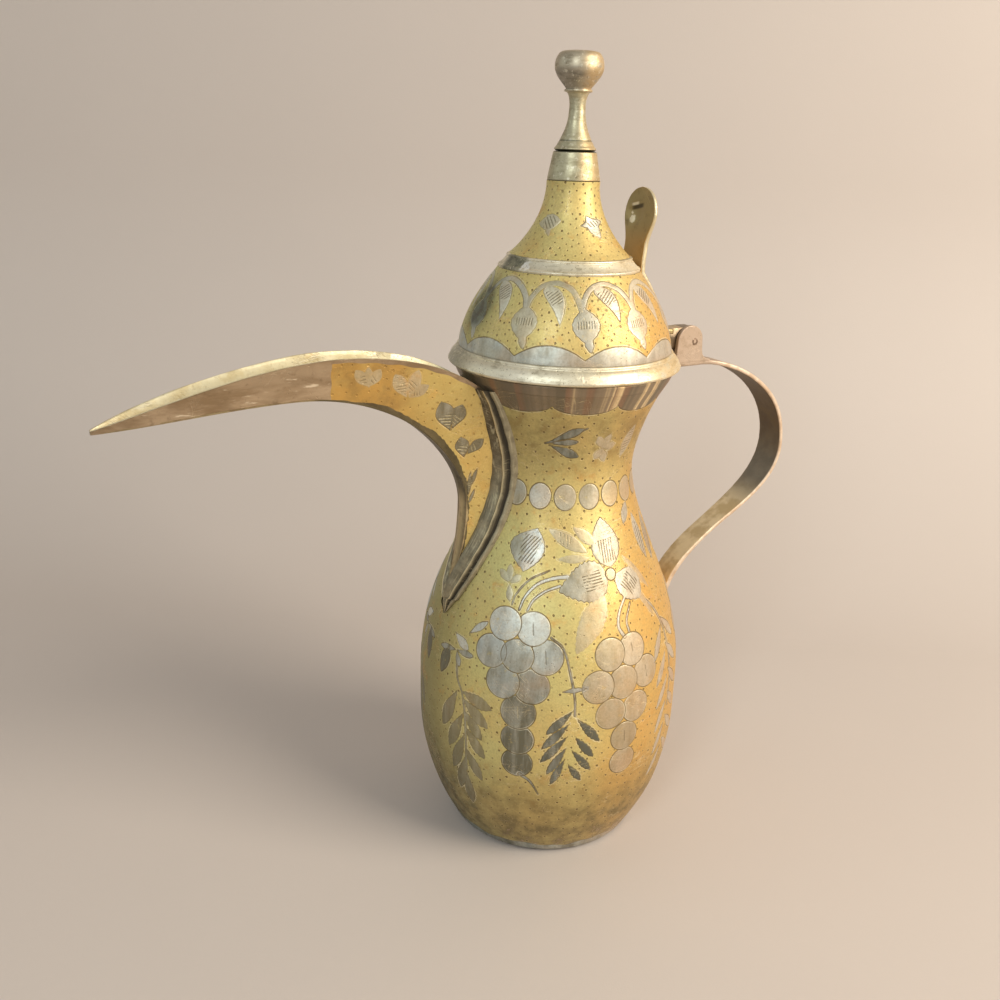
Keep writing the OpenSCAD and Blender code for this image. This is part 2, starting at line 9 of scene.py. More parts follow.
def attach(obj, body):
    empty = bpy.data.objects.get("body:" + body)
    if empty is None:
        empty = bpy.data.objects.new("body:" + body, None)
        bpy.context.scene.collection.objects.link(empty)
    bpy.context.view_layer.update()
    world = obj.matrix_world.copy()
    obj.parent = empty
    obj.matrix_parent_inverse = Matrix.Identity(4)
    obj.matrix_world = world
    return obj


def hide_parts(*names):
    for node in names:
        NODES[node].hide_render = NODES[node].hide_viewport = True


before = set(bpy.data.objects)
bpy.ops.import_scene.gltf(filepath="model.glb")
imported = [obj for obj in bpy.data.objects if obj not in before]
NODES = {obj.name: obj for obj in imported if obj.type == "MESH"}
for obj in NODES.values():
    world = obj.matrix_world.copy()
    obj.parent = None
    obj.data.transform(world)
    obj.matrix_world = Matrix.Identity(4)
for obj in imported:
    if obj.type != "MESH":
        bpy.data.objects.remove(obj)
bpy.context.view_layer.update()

MM = 0.001
DEG = math.pi / 180


# ------------------------------------------------------------ outlines, in millimetres

BASE_T, BASE_R, BELLY_R, BELLY_Z = 1.6, 37.8, 53.2, 62.0
WAIST_R, WAIST_Z, MOUTH_R, MOUTH_Z, WALL = 28.7, 156.0, 39.6, 188.6, 1.2
DOME_R, DOME_TOP_R, DOME_H = 39.6, 25.8, 28.2
CONE_R, CONE_TOP_R, CONE_H = 21.8, 9.5, 25.4
RING_TOP = MOUTH_Z + 4.0
SEAT_Z = RING_TOP + 0.3
DOME_Z = SEAT_Z + 6.4
BAND_Z = DOME_Z + DOME_H
CONE_Z = BAND_Z + 4.8
FERRULE_Z = CONE_Z + CONE_H
FINIAL_Z = FERRULE_Z + 9.8
BEAD_Z = FINIAL_Z + 19.2
PIN_X, PIN_Z = 57.6, MOUTH_Z + 9.1


def ease(u):
    u = np.clip(u, 0, 1)
    return u * u * (3 - 2 * u)


def mix(a, b, u):
    return a + (b - a) * u


def hump(x, middle, wide):
    """1 at the middle, falling off smoothly to both sides."""
    return np.exp(-((x - middle) / wide) ** 2)


def body_r(z):
    z = np.asarray(z, float)
    low = BELLY_R - (BELLY_R - BASE_R) * np.clip(1 - z / BELLY_Z, 0, 1) ** 2.6
    middle = BELLY_R - (BELLY_R - WAIST_R) * ease(np.clip((z - BELLY_Z) / (WAIST_Z - BELLY_Z), 0, 1) ** 1.3)
    high = WAIST_R + (MOUTH_R - WAIST_R) * np.clip((z - WAIST_Z) / (MOUTH_Z - WAIST_Z), 0, None) ** 1.65
    return np.where(z < BELLY_Z, low, np.where(z < WAIST_Z, middle, high))


def dome_r(z):
    return DOME_R - (DOME_R - DOME_TOP_R) * np.clip((np.asarray(z, float) - DOME_Z) / DOME_H, 0, 1) ** 1.72


def cone_r(z):
    return CONE_TOP_R + (CONE_R - CONE_TOP_R) * np.clip(1 - (np.asarray(z, float) - CONE_Z) / CONE_H, 0, 1) ** 2.05


def along(radius, low, high, step):
    """Heights spread evenly along an outline, about step apart, and a function from height to its length."""
    z = np.linspace(low, high, 1500)
    r = radius(z)
    length = np.concatenate([[0], np.cumsum(np.hypot(np.diff(z), np.diff(r)))])
    count = max(2, int(length[-1] / step))
    return np.interp(np.linspace(0, length[-1], count + 1), length, z), lambda h: np.interp(h, z, length)


def bezier(p, t):
    p, t = np.asarray(p, float), np.asarray(t, float)[:, None]
    return p[0] * (1 - t) ** 3 + 3 * p[1] * t * (1 - t) ** 2 + 3 * p[2] * t * t * (1 - t) + p[3] * t**3


def run_length(p):
    """How far along a line of points each of them lies."""
    return np.concatenate([[0], np.cumsum(np.linalg.norm(np.diff(p, axis=0), axis=1))])


def unit(p):
    return p / np.linalg.norm(p, axis=1)[:, None]


def round_turn(count):
    """Angles all the way round, in radians."""
    return np.arange(count) * 2 * math.pi / count


def turned(r, z, count, wobble=0):
    """Points of a turned surface: one row for each place on the outline. Angle 0 is under the spout."""
    a = round_turn(count)
    r = np.asarray(r, float)[:, None] + wobble
    z = np.asarray(z, float)[:, None] + 0 * a[None]
    return np.stack([-r * np.cos(a), -r * np.sin(a), z], -1)


# ------------------------------------------------------------ meshes

FAR = 9.0  # millimetres from any engraving
PLAIN = {"inside": 0, "wear": 0.2, "stain": 0, "tone": 0.4, "hatch": 0, "aged": 0, "film": 0}  # other channels: FAR


def placed(name, data):
    """An object of the scene, made from a mesh, lamp or camera."""
    piece = bpy.data.objects.new(name, data)
    bpy.context.scene.collection.objects.link(piece)
    return piece


def shaded(mesh, sharp):
    """Smooth shading, broken where faces meet at more than sharp degrees."""
    mesh.polygons.foreach_set("use_smooth", np.ones(len(mesh.polygons), bool))
    if sharp < 180:
        mesh.set_sharp_from_angle(angle=sharp * DEG)


class Shape:
    """Gathers grids of points into one mesh, with what its finish reads at each point."""

    def __init__(self):
        self.points, self.faces, self.places, self.extra, self.total = [], [], [], [], 0

    def grid(self, points, wrap=True, wrap_rows=False, chart=(0, 0, 1, 1), drop=None, flip=False, **extra):
        """Adds a grid. chart is its rectangle of the UV map, and drop marks faces to leave out."""
        rows, columns = points.shape[:2]
        i = np.arange(rows if wrap_rows else rows - 1)[:, None]
        j = np.arange(columns if wrap else columns - 1)[None]
        far, right = (i + 1) % rows, (j + 1) % columns
        quads = np.stack([i * columns + j, i * columns + right, far * columns + right, far * columns + j], -1)
        u0, v0 = (j + 0 * i) / (j.size), (i + 0 * j) / (i.size)
        u1, v1 = u0 + 1 / j.size, v0 + 1 / i.size
        chart_u = chart[0] + (chart[2] - chart[0]) * np.stack([u0, u1, u1, u0], -1)
        chart_v = chart[1] + (chart[3] - chart[1]) * np.stack([v0, v0, v1, v1], -1)
        sheets = [sheet.reshape(-1, 4) for sheet in (quads, chart_u, chart_v)]
        if drop is not None:
            kept = ~drop[:len(i), :j.size].reshape(-1)
            sheets = [sheet[kept] for sheet in sheets]
        if flip:
            sheets = [sheet[:, ::-1] for sheet in sheets]
        self.points.append(points.reshape(-1, 3))
        self.faces.append(sheets[0] + self.total)
        self.places.append(np.stack(sheets[1:], -1).reshape(-1, 2))
        self.extra.append({k: np.asarray(v).reshape(rows * columns, -1) for k, v in extra.items()})
        self.total += rows * columns
        return self

    def make(self, name, sharp):
        points, faces = np.concatenate(self.points) * MM, np.concatenate(self.faces)
        mesh = bpy.data.meshes.new(name)
        mesh.vertices.add(len(points))
        mesh.vertices.foreach_set("co", points.astype(np.float32).ravel())
        mesh.loops.add(faces.size)
        mesh.loops.foreach_set("vertex_index", faces.astype(np.int32).ravel())
        mesh.polygons.add(len(faces))
        mesh.polygons.foreach_set("loop_start", np.arange(0, faces.size, 4, dtype=np.int32))
        chart = mesh.uv_layers.new(name="OFBake")
        chart.uv.foreach_set("vector", np.concatenate(self.places).astype(np.float32).ravel())
        for key in sorted({k for e in self.extra for k in e}):
            width = max(e[key].shape[1] for e in self.extra if key in e)
            data = np.concatenate([e.get(key, np.full((len(p), width), float(PLAIN.get(key, FAR))))
                                   for e, p in zip(self.extra, self.points)])
            kind, field = ("FLOAT", "value") if width == 1 else ("FLOAT_VECTOR", "vector")
            mesh.attributes.new(key, kind, "POINT").data.foreach_set(field, data.astype(np.float32).ravel())
        mesh.update(calc_edges=True)
        mesh.validate()
        shaded(mesh, sharp)
        return placed(name, mesh)


def vectors(items, key):
    """A vector of each vertex or face, one in a row."""
    out = np.empty(len(items) * 3, np.float32)
    items.foreach_get(key, out)
    return out.reshape(-1, 3)


def channel(piece, key):
    """What a finish reads at each point of a piece: for a vector its least number, and 0 for a missing channel."""
    layer = piece.data.attributes.get(key)
    if layer is None:
        return np.zeros(len(piece.data.vertices))
    if layer.data_type == "FLOAT_VECTOR":
        return vectors(layer.data, "vector").min(1)
    out = np.empty(len(layer.data), np.float32)
    layer.data.foreach_get("value", out)
    return out


def tree_of(places):
    tree = kdtree.KDTree(len(places))
    for k, place in enumerate(places):
        tree.insert(place, k)
    tree.balance()
    return tree


def punched(piece, gap, seed, below=(("inside", 0.5),), above=("leafage", "rings")):
    """Scatters punch marks over a piece's ground, about gap millimetres apart, and gives each face its nearest mark.

    The ground is where the channels in below are under their limits and all those in above are over 0.5."""
    mesh = piece.data
    plain = np.ones(len(mesh.vertices), bool)
    for key in above:
        plain &= channel(piece, key) > 0.5
    for key, limit in below:
        plain &= channel(piece, key) < limit
    chance = np.random.default_rng(seed)
    places = vectors(mesh.vertices, "co")[chance.permutation(np.flatnonzero(plain))[:70000]]
    spacing = chance.uniform(0.82, 1.2, len(places)) * gap * MM
    tree, taken, marks = tree_of(places), np.zeros(len(places), bool), []
    for k, place in enumerate(places):
        if not taken[k]:
            marks.append(place)
            for found in tree.find_range(place, spacing[k]):
                taken[found[1]] = True
    tree = tree_of(marks)
    nearest = np.array([tree.find(middle)[0] for middle in vectors(mesh.polygons, "center")], np.float32)
    mesh.attributes.new("punch", "FLOAT_VECTOR", "FACE").data.foreach_set("vector", nearest.ravel())
    return piece


# ------------------------------------------------------------ engraved work

def rounded_run(places, steps=4):
    """A smooth line through a few places."""
    p = np.asarray(places, float)
    p = np.concatenate([2 * p[:1] - p[1:2], p, 2 * p[-1:] - p[-2:-1]])
    t = (np.arange(steps) / steps)[:, None]
    run = [0.5 * (2 * b + (c - a) * t + (2 * a - 5 * b + 4 * c - d) * t**2 + (3 * b - a - 3 * c + d) * t**3)
           for a, b, c, d in zip(p, p[1:], p[2:], p[3:])]
    return [tuple(place) for place in np.concatenate(run + [p[-2:-1]])]


def leaf_edge(t, n, size, half, fat):
    """How far places lie outside a leaf. t goes from 0 to 1 along its middle line, and n is the distance beside it."""
    swell = np.sin(math.pi * np.clip(t, 0, 1) ** (math.log(0.5) / math.log(fat))) ** 0.85
    past = np.maximum(-t, t - 1) * size
    return np.where(past > 0, np.hypot(past, n), np.abs(n) - half * swell)


class Engraving:
    """Signed distances, in millimetres, from the edges of engraved leaves, rings and hatching on a turned surface.

    tone is how bright the bared metal is, from 0 to 1, and film how much lacquer is left on it."""

    def __init__(self, radius, heights, count, length, mirrored=False):
        whole = (np.arange(count) * 360 / count)[None] + 0 * heights[:, None]
        self.whole, self.angle = whole, np.minimum(whole, 360 - whole) if mirrored else whole
        self.radius, self.height = radius(heights)[:, None] + 0 * whole, heights[:, None] + 0 * whole
        self.length, self.run = length, length(self.height)
        shape = whole.shape
        self.leafage, self.hatched, self.hatch = np.full(shape, FAR), np.full(shape, FAR), np.zeros(shape)
        self.tone, self.rings = np.full(shape, 0.62), np.full(shape + (3,), FAR)
        self.film, self.veil = np.zeros(shape), 0.15

    def local(self, a, z):
        turn = (self.angle - a + 180) % 360 - 180
        return turn * DEG * self.radius, self.run - self.length(z)

    def colour(self, within, tone):
        self.tone = np.where(within, tone, self.tone)
        self.film = np.where(within, self.veil, self.film)

    def lay(self, edge, tone):
        self.colour(edge < np.minimum(self.leafage, 0.7), tone)
        self.leafage = np.minimum(self.leafage, edge)

    def score(self, edge, across):
        """Hatching inside an edge, its strokes one unit apart in across."""
        self.hatch = np.where(edge < self.hatched, across, self.hatch)
        self.hatched = np.minimum(self.hatched, edge)

    def leaf(self, base, tip, half, fat=0.5, tone=0.7, pitch=0.0, lean=70, bend=0.0, keep=(0.12, 0.9),
             teeth=0.12):
        """A leaf between two places (angle, height). bend bows its middle line and teeth cuts its edge, in mm."""
        middle = ((base[0] + tip[0]) / 2, (base[1] + tip[1]) / 2)
        u, v = self.local(*middle)
        scale = float(np.interp(self.length(middle[1]), self.run[:, 0], self.radius[:, 0])) * DEG
        half_u = (tip[0] - base[0]) / 2 * scale
        half_v = (self.length(tip[1]) - self.length(base[1])) / 2
        size = math.hypot(half_u, half_v)
        x, y = half_u / size, half_v / size
        t = ((u * x + v * y) / size + 1) / 2
        n = -u * y + v * x - bend * 4 * t * (1 - t)
        edge = leaf_edge(t, n, 2 * size, half, fat)
        edge = edge + teeth * (np.abs((t * 2 * size / 1.9 + 0.3 * np.sign(n)) % 1 - 0.5) * 2 - 0.4)
        self.lay(edge, tone)
        if pitch:
            across = (t * 2 * size * math.sin(lean * DEG) + n * math.cos(lean * DEG)) / pitch
            area = np.maximum(edge + 0.55, np.abs(n) - 3.2)
            self.score(np.maximum(area, np.maximum(keep[0] - t, t - keep[1]) * 2 * size), across)

    def stem(self, places, width=1.1, tone=0.75, taper=1.0):
        edge = np.full(self.angle.shape, FAR)
        places = rounded_run(places)
        count = len(places) - 1
        for k, ((a0, z0), (a1, z1)) in enumerate(zip(places, places[1:])):
            u, v = self.local(a0, z0)
            end_u, end_v = (a1 - a0) * DEG * self.radius, self.length(z1) - self.length(z0)
            t = np.clip((u * end_u + v * end_v) / (end_u**2 + end_v**2 + 1e-9), 0, 1)
            half = width / 2 * mix(1, taper, (k + t) / count)
            edge = np.minimum(edge, np.hypot(u - t * end_u, v - t * end_v) - half)
        self.lay(edge, tone)

    def ring(self, place, size, lane, over=(), tone=0.5, tall=1.0, strokes=True):
        """A disc, cut away where an earlier one lies over it; lane keeps touching discs apart."""
        u, v = self.local(*place)
        whole = (np.hypot(u / size, v / (size * tall)) - 1) * size
        edge = whole.copy()
        for other in over:
            edge = np.maximum(edge, -other)
        self.rings[..., lane] = np.minimum(self.rings[..., lane], edge)
        self.colour(edge < 0.3, tone)
        if strokes:
            lean = u + 0.10 * v
            area = np.maximum(np.abs(lean) - size * 0.11, np.abs(v + 0.9 * lean) - size * 0.40)
            self.score(area, lean / 1.3 + 0.5)
        return whole

    def cluster(self, discs, size):
        """discs: (angle, height, size, lane, tone, numbers of the discs over this one). Every third has strokes."""
        laid = []
        for a, z, r, lane, tone, over in discs:
            laid.append(self.ring((a, z), r * size, lane, [laid[k] for k in over], tone, strokes=len(laid) % 3 == 1))

    def channels(self):
        return {key: getattr(self, key) for key in ("leafage", "hatched", "hatch", "tone", "rings", "film")}


# ------------------------------------------------------------ finishes

class Wire:
    """An output of a finish's nodes, to reckon with."""

    def __init__(self, finish, socket):
        self.finish, self.socket = finish, socket

    def reckon(self, operation, *values, clamp=False):
        return self.finish.node("ShaderNodeMath", {"operation": operation, "use_clamp": clamp}, values)

    def __add__(self, other): return self.reckon("ADD", self, other)
    def __radd__(self, other): return self.reckon("ADD", other, self)
    def __sub__(self, other): return self.reckon("SUBTRACT", self, other)
    def __rsub__(self, other): return self.reckon("SUBTRACT", other, self)
    def __mul__(self, other): return self.reckon("MULTIPLY", self, other)
    def __rmul__(self, other): return self.reckon("MULTIPLY", other, self)
    def __abs__(self): return self.reckon("ABSOLUTE", self)

    def least(self, other): return self.reckon("MINIMUM", self, other)
    def most(self, other): return self.reckon("MAXIMUM", self, other)
    def part(self): return self.reckon("FRACT", self)
    def held(self): return self.reckon("ADD", self, 0, clamp=True)

    def fade(self, start, end, low=0.0, high=1.0):
        """Goes smoothly from low at start to high at end; start may lie above end."""
        a, b, x, y = (start, end, low, high) if start < end else (end, start, high, low)
        return self.finish.node("ShaderNodeMapRange", {"interpolation_type": "SMOOTHSTEP"}, (self, a, b, x, y))


def linear(colour):
    """A colour for a socket: one given in 0 to 255, as a screen shows it, becomes Blender's linear numbers."""
    if isinstance(colour, Wire):
        return colour
    return tuple(((v / 255 + 0.055) / 1.055) ** 2.4 if v > 10 else v / 3295 for v in colour) + (1.0,)


class Finish:
    """A material, made of nodes."""

    def __init__(self, name):
        self.material = bpy.data.materials.new(name)
        self.material.use_nodes = True
        self.tree = self.material.node_tree
        self.tree.nodes.clear()
        self.where = self.node("ShaderNodeTexCoord", out="Object")
        self.made = {}

    def node(self, kind, settings=None, values=(), out=0):
        """A new node, its settings set and its inputs, given by number or name, linked or filled."""
        made = self.tree.nodes.new(kind)
        for key, value in (settings or {}).items():
            setattr(made, key, value)
        for key, value in values.items() if isinstance(values, dict) else enumerate(values):
            if isinstance(value, Wire):
                self.tree.links.new(value.socket, made.inputs[key])
            elif value is not None:
                made.inputs[key].default_value = value
        return Wire(self, made.outputs[out]) if len(made.outputs) else None

    def vector(self, operation, *values, out="Vector"):
        return self.node("ShaderNodeVectorMath", {"operation": operation}, values, out)

    def parts(self, place):
        """The three numbers of a vector."""
        first = self.node("ShaderNodeSeparateXYZ", {}, (place,))
        return [Wire(self, output) for output in first.socket.node.outputs]

    def height(self):
        return self.parts(self.where)[2] * 1000

    def away(self, place):
        """How many millimetres off a place, given in metres, lies."""
        return self.vector("DISTANCE", self.where, place, out="Value") * 1000

    def near(self, place, size, soft=0.6):
        """1 within size millimetres of a place, fading over the share soft of it."""
        away = self.away(tuple(v * MM for v in place)) * (1 / size)
        return (away + (self.cloud(size * 0.5, 3) - 0.5) * 0.8).fade(1.0, 1.0 - soft)

    def around(self, radius):
        """A place on a circle about the pot's middle line, so that a pattern laid there runs straight up."""
        level = self.vector("NORMALIZE", self.vector("MULTIPLY", self.where, (1, 1, 0)))
        return self.vector("SCALE", level, None, None, radius * MM)

    def read(self, name, out="Fac"):
        if name not in self.made:
            self.made[name] = self.node("ShaderNodeAttribute", {"attribute_name": name}, out=out)
        return self.made[name]

    def blend(self, share, first, second):
        """Colours mixed: share 0 is first, 1 is second."""
        return self.node("ShaderNodeMix", {"data_type": "RGBA"}, {0: share, 6: linear(first), 7: linear(second)}, out=2)

    def over(self, colour, *coats):
        """Coats, each a share and a colour, laid over a colour one after another."""
        for share, coat in coats:
            colour = self.blend(share, colour, coat)
        return colour

    def cloud(self, size, detail=3, rough=0.55, stretch=None, place=None):
        """Noise whose patches are about size millimetres across."""
        where = place or self.where
        if stretch:
            where = self.vector("MULTIPLY", where, stretch)
        return self.node("ShaderNodeTexNoise", {}, {"Vector": where, "Scale": 1000 / size, "Detail": detail,
                                                    "Roughness": rough})

    def cells(self, size):
        return self.node("ShaderNodeTexVoronoi", {}, {"Vector": self.where, "Scale": 1000 / size}, out="Distance")

    def surface(self, colour, rough, metal, relief, depth, coat=None, clear=None):
        """Ends the material. depth is what relief 1 stands for, in mm, and clear is the share seen through."""
        bump = self.node("ShaderNodeBump", {}, {"Strength": 1.0, "Distance": depth * MM, "Height": relief})
        shader = self.node("ShaderNodeBsdfPrincipled", {}, {"Base Color": colour, "Roughness": rough, "Metallic": metal,
                                                            "Coat Weight": coat, "Normal": bump})
        if clear is not None:
            shader = self.node("ShaderNodeMixShader", {}, (clear, shader, self.node("ShaderNodeBsdfTransparent")))
        self.node("ShaderNodeOutputMaterial", {}, {"Surface": shader})
        return self.material


def scratches(f, seed, angle, thin=0.5, size=9.0):
    """Fine straight scratches in one direction, 0 or 1 where one runs."""
    turned_to = f.node("ShaderNodeMapping", {}, {"Vector": f.where, "Rotation": (seed * 0.7, angle * DEG, seed * 1.3),
                                                 "Location": (seed * 0.01, 0, seed * 0.003)})
    stretched = f.vector("MULTIPLY", turned_to, (14.0, 1.0, 1.0))
    line = f.node("ShaderNodeTexNoise", {}, {"Vector": stretched, "Scale": 1000 / size / 3, "Detail": 2.0})
    return abs(line - 0.5).fade(0.012 * thin, 0.003 * thin) * f.cloud(14, 1).fade(0.52, 0.62)


def scratched(f, *sets):
    """Several sets of scratches, each a seed, an angle and perhaps a thinness."""
    marks = [scratches(f, *given) for given in sets]
    for more in marks[1:]:
        marks[0] = marks[0].most(more)
    return marks[0]


LACQUER_GREEN, LACQUER_GOLD, LACQUER_ORANGE = (214, 207, 138), (220, 188, 116), (222, 164, 82)
SILVER, PEWTER, ROSE = (222, 222, 210), (108, 108, 94), (204, 176, 148)
BROWN, SOOT = (128, 102, 60), (38, 36, 26)


def lit_side(f):
    """Below 0 on the spout's side of the pot and above 0 towards the handle: the side painted as shaded and the side
    painted as lit.
    """
    return f.vector("DOT_PRODUCT", f.where, (8.4, -5.4, 0), out="Value")


def throat_metal(f, mottled):
    """Bare metal under the lid: dark brown, with tall darker and lighter bands painted as reflections, and tall bright
    streaks painted as reflections on the lit side.
    """
    reflection_bands, fine = (f.cloud(size, detail, 0.6, place=f.around(39)) for size, detail in ((7, 3), (1.6, 2)))
    # painted reflection: tall bright streaks, on the lit side only
    bright = reflection_bands.fade(0.53, 0.60) * fine.fade(0.40, 0.56) * lit_side(f).fade(-0.16, 0.14)
    metal = f.blend((reflection_bands.fade(0.36, 0.64) * 0.8 + (mottled - 0.5) * 0.5).held(), (124, 112, 92), (168, 148, 122))
    return f.over(metal, (f.cloud(11, 2, place=f.around(36)).fade(0.54, 0.60) * 0.5, (158, 116, 88)),
                  (bright * 0.9, (240, 214, 166)))


def engraved_finish(name, warmth, mark, spout=False):
    """Lacquered brass with a punched ground, and engraved work showing bare metal. mark is a punch mark's radius."""
    f = Finish(name)
    leafage, hatched, hatch, tone, film = (f.read(k) for k in ("leafage", "hatched", "hatch", "tone", "film"))
    lanes = f.parts(f.read("rings", "Vector"))
    waver = (f.cloud(2.2, 2) - 0.5) * 0.28
    leaf = leafage + waver
    nearest = lanes[0].least(lanes[1]).least(lanes[2])
    bare_metal = leaf.least(nearest + waver).fade(0.10, -0.12)

    broad, mottled, fine = f.cloud(26, 3), f.cloud(7, 4, 0.62), f.cloud(1.1, 3, 0.6)
    broken = f.cloud(5.5, 3, 0.6).fade(0.34, 0.60, 0.5, 1.0)
    outline = abs(leaf).fade(0.30, 0.08) * broken * (1.35 - film * 2.2).held() * 0.95
    for lane in lanes:
        outline = outline.most(abs(lane).fade(0.32, 0.09) * f.cloud(8, 2).fade(0.3, 0.6, 0.55, 1.0))
    glint = abs(leaf - 0.34).fade(0.22, 0.05).most(abs(nearest + 0.36).fade(0.22, 0.06))
    glint = glint * f.cloud(6.5, 3).fade(0.44, 0.64)
    in_ring = nearest.fade(-0.2, -0.5)
    stroke = abs(hatch.part() - 0.5).fade(0.27, 0.09) * hatched.fade(0.02, -0.12)
    stroke = stroke * f.cloud(4.0, 2).fade(0.28, 0.46) * (1 - in_ring * 0.3) * (1.2 - film * 0.9).held()

    across = lit_side(f)
    # Light painted into the lacquer: across makes it greener and darker on the spout's side as painted shade, and gold
    # and orange towards the handle as painted warm light.
    lacquer = f.over(f.blend((broad * 1.7 - 0.85 + warmth + across).held(), LACQUER_GREEN, LACQUER_GOLD),
                     (across.fade(-0.26, -0.50) * 0.75, (134, 126, 80)),
                     (across.fade(0.10, 0.34) * 0.42, (208, 142, 50)),
                     (mottled.fade(0.52, 0.74) * 0.55, LACQUER_ORANGE),
                     (f.cloud(11, 5, 0.7).fade(0.60, 0.78) * 0.5, BROWN),
                     (fine.fade(0.62, 0.80) * 0.35, BROWN),
                     # darker brown low down and round the neck, and painted shade on the spout's side
                     (f.read("aged") * (mottled.fade(0.2, 0.7) * 0.5 + 0.5),
                      f.blend(mottled.fade(0.4, 0.66), (154, 128, 78), (122, 106, 66))))

    # The tall streaks in the bared metal are partly brushed grain and partly painted reflections.
    streaks, tall = f.cloud(3.0, 4, 0.6, (1, 1, 0.16)), f.cloud(4.5, 3, 0.6, (1, 1, 0.07))
    bright = tone * 1.15 + (streaks - 0.5) * 1.1 + (tall - 0.5) * 0.9 + (broad - 0.5) * 0.4 - 0.04
    # rosy is a random rose tint plus a painted warm reflection towards the lit side; bluish is a painted cool
    # reflection on the spout's side.
    rosy = (f.cloud(15, 3).fade(0.42, 0.66) * 0.45 + across * 1.0).held() * tone.fade(0.1, 0.4)
    bluish = f.cloud(9, 2).fade(0.46, 0.62) * (0.4 - across * 0.8).held() * tone.fade(0.1, 0.5) * 0.62
    lacquered = f.blend(0.55, lacquer, (206, 164, 112)) if spout else f.blend(0.25, lacquer, (232, 206, 170))
    silver = f.over(f.blend(bright.held(), PEWTER, SILVER),
                    (rosy, ROSE),
                    (bluish, (196, 210, 212)),
                    (mottled.fade(0.56, 0.76) * 0.35, (132, 122, 98)),
                    (f.cloud(4, 4, 0.7).fade(0.60, 0.72) * 0.5, lacquer),
                    ((film * (0.7 + mottled * 0.8)).held(), lacquered))
    if not spout:
        throat = f.height().fade(180.5, 182) * f.height().fade(194, 190)
        silver = f.blend(throat, silver, throat_metal(f, mottled))

    worn = (f.read("wear") + (mottled - 0.5) * 1.3 + (fine - 0.5) * 0.7).fade(0.42, 0.72)
    tarnish = f.blend(f.cloud(5, 4, 0.65).fade(0.36, 0.66), ROSE, (120, 96, 66))

    mark_place = f.read("punch", "Vector")
    away = f.away(mark_place)
    size = f.cloud(4, 1, place=mark_place).fade(0.3, 0.7, mark * 0.72, mark * 1.25)
    depth = f.cloud(3, 1, place=mark_place).fade(0.30, 0.60, 0.35, 1.0)
    punch = (away - size + (f.cloud(0.5, 1) - 0.5) * 0.22).fade(0.10, -0.10) * depth
    burr = (away - size * 1.7).fade(0.1, -0.2) * depth * (1 - punch)
    pit = f.cells(1.5).fade(0.20, 0.08) * f.cloud(12, 3).fade(0.50, 0.64)
    stain = f.cloud(4.6, 5, 0.7, (1, 1, 0.6)).fade(0.66, 0.76) * f.cloud(30, 2).fade(0.46, 0.58)
    stain = (stain + f.read("stain") * (mottled + 0.35)).held()
    marks = scratched(f, (1, 35), (3, 118), (5, 80, 0.7))

    colour = f.over(lacquer,
                    (worn * 0.85, tarnish),
                    (bare_metal, silver),
                    (stain * 0.8, f.blend(f.cloud(2.5, 4).fade(0.4, 0.6), SOOT, (82, 90, 74))),
                    (outline * 0.80, (104, 84, 48)),
                    (glint * 0.50, (246, 238, 210)),
                    (stroke * 0.66, f.blend(tone.fade(0.30, 0.18), (92, 78, 48), (196, 182, 142))),
                    (burr * 0.22, (240, 214, 150)),
                    (punch * 0.78, (94, 72, 36)),
                    (pit * 0.5, (96, 80, 48)),
                    (marks * 0.4, (236, 214, 168)),
                    ((f.cloud(0.8, 2, 0.6) - 0.42).held() * 0.8, (128, 108, 66)))
    if spout:
        colour, bared, plain = cheek_coats(f, colour, mottled, bare_metal, marks, stain)
    else:
        bared = f.read("inside")
        plain = 1 - bared
        colour = f.blend(bared, colour, f.blend(mottled.fade(0.35, 0.68), (150, 142, 122), (104, 94, 72)))
    punch, bare_metal = punch * plain, bare_metal.most(bared)
    rough = 0.51 + (mottled - 0.5) * 0.24 + stain * 0.25 + outline * 0.36 - bare_metal * 0.06 + worn * 0.05
    relief = 0.5 - outline * 0.22 - stroke * 0.22 - punch * 0.42 - pit * 0.2
    relief = relief + bare_metal * (0.04 - film * 0.04) + (f.cloud(3.2, 3) - 0.5) * 0.22
    relief = relief + (broad - 0.5) * 0.6 - marks * 0.08
    metal = 0.50 + bare_metal * 0.16 + worn * 0.1 - stain * 0.3 - outline * 0.3
    return f.surface(colour, rough.held(), metal.held(), relief, 0.5, coat=(0.10 * (1 - bare_metal)))


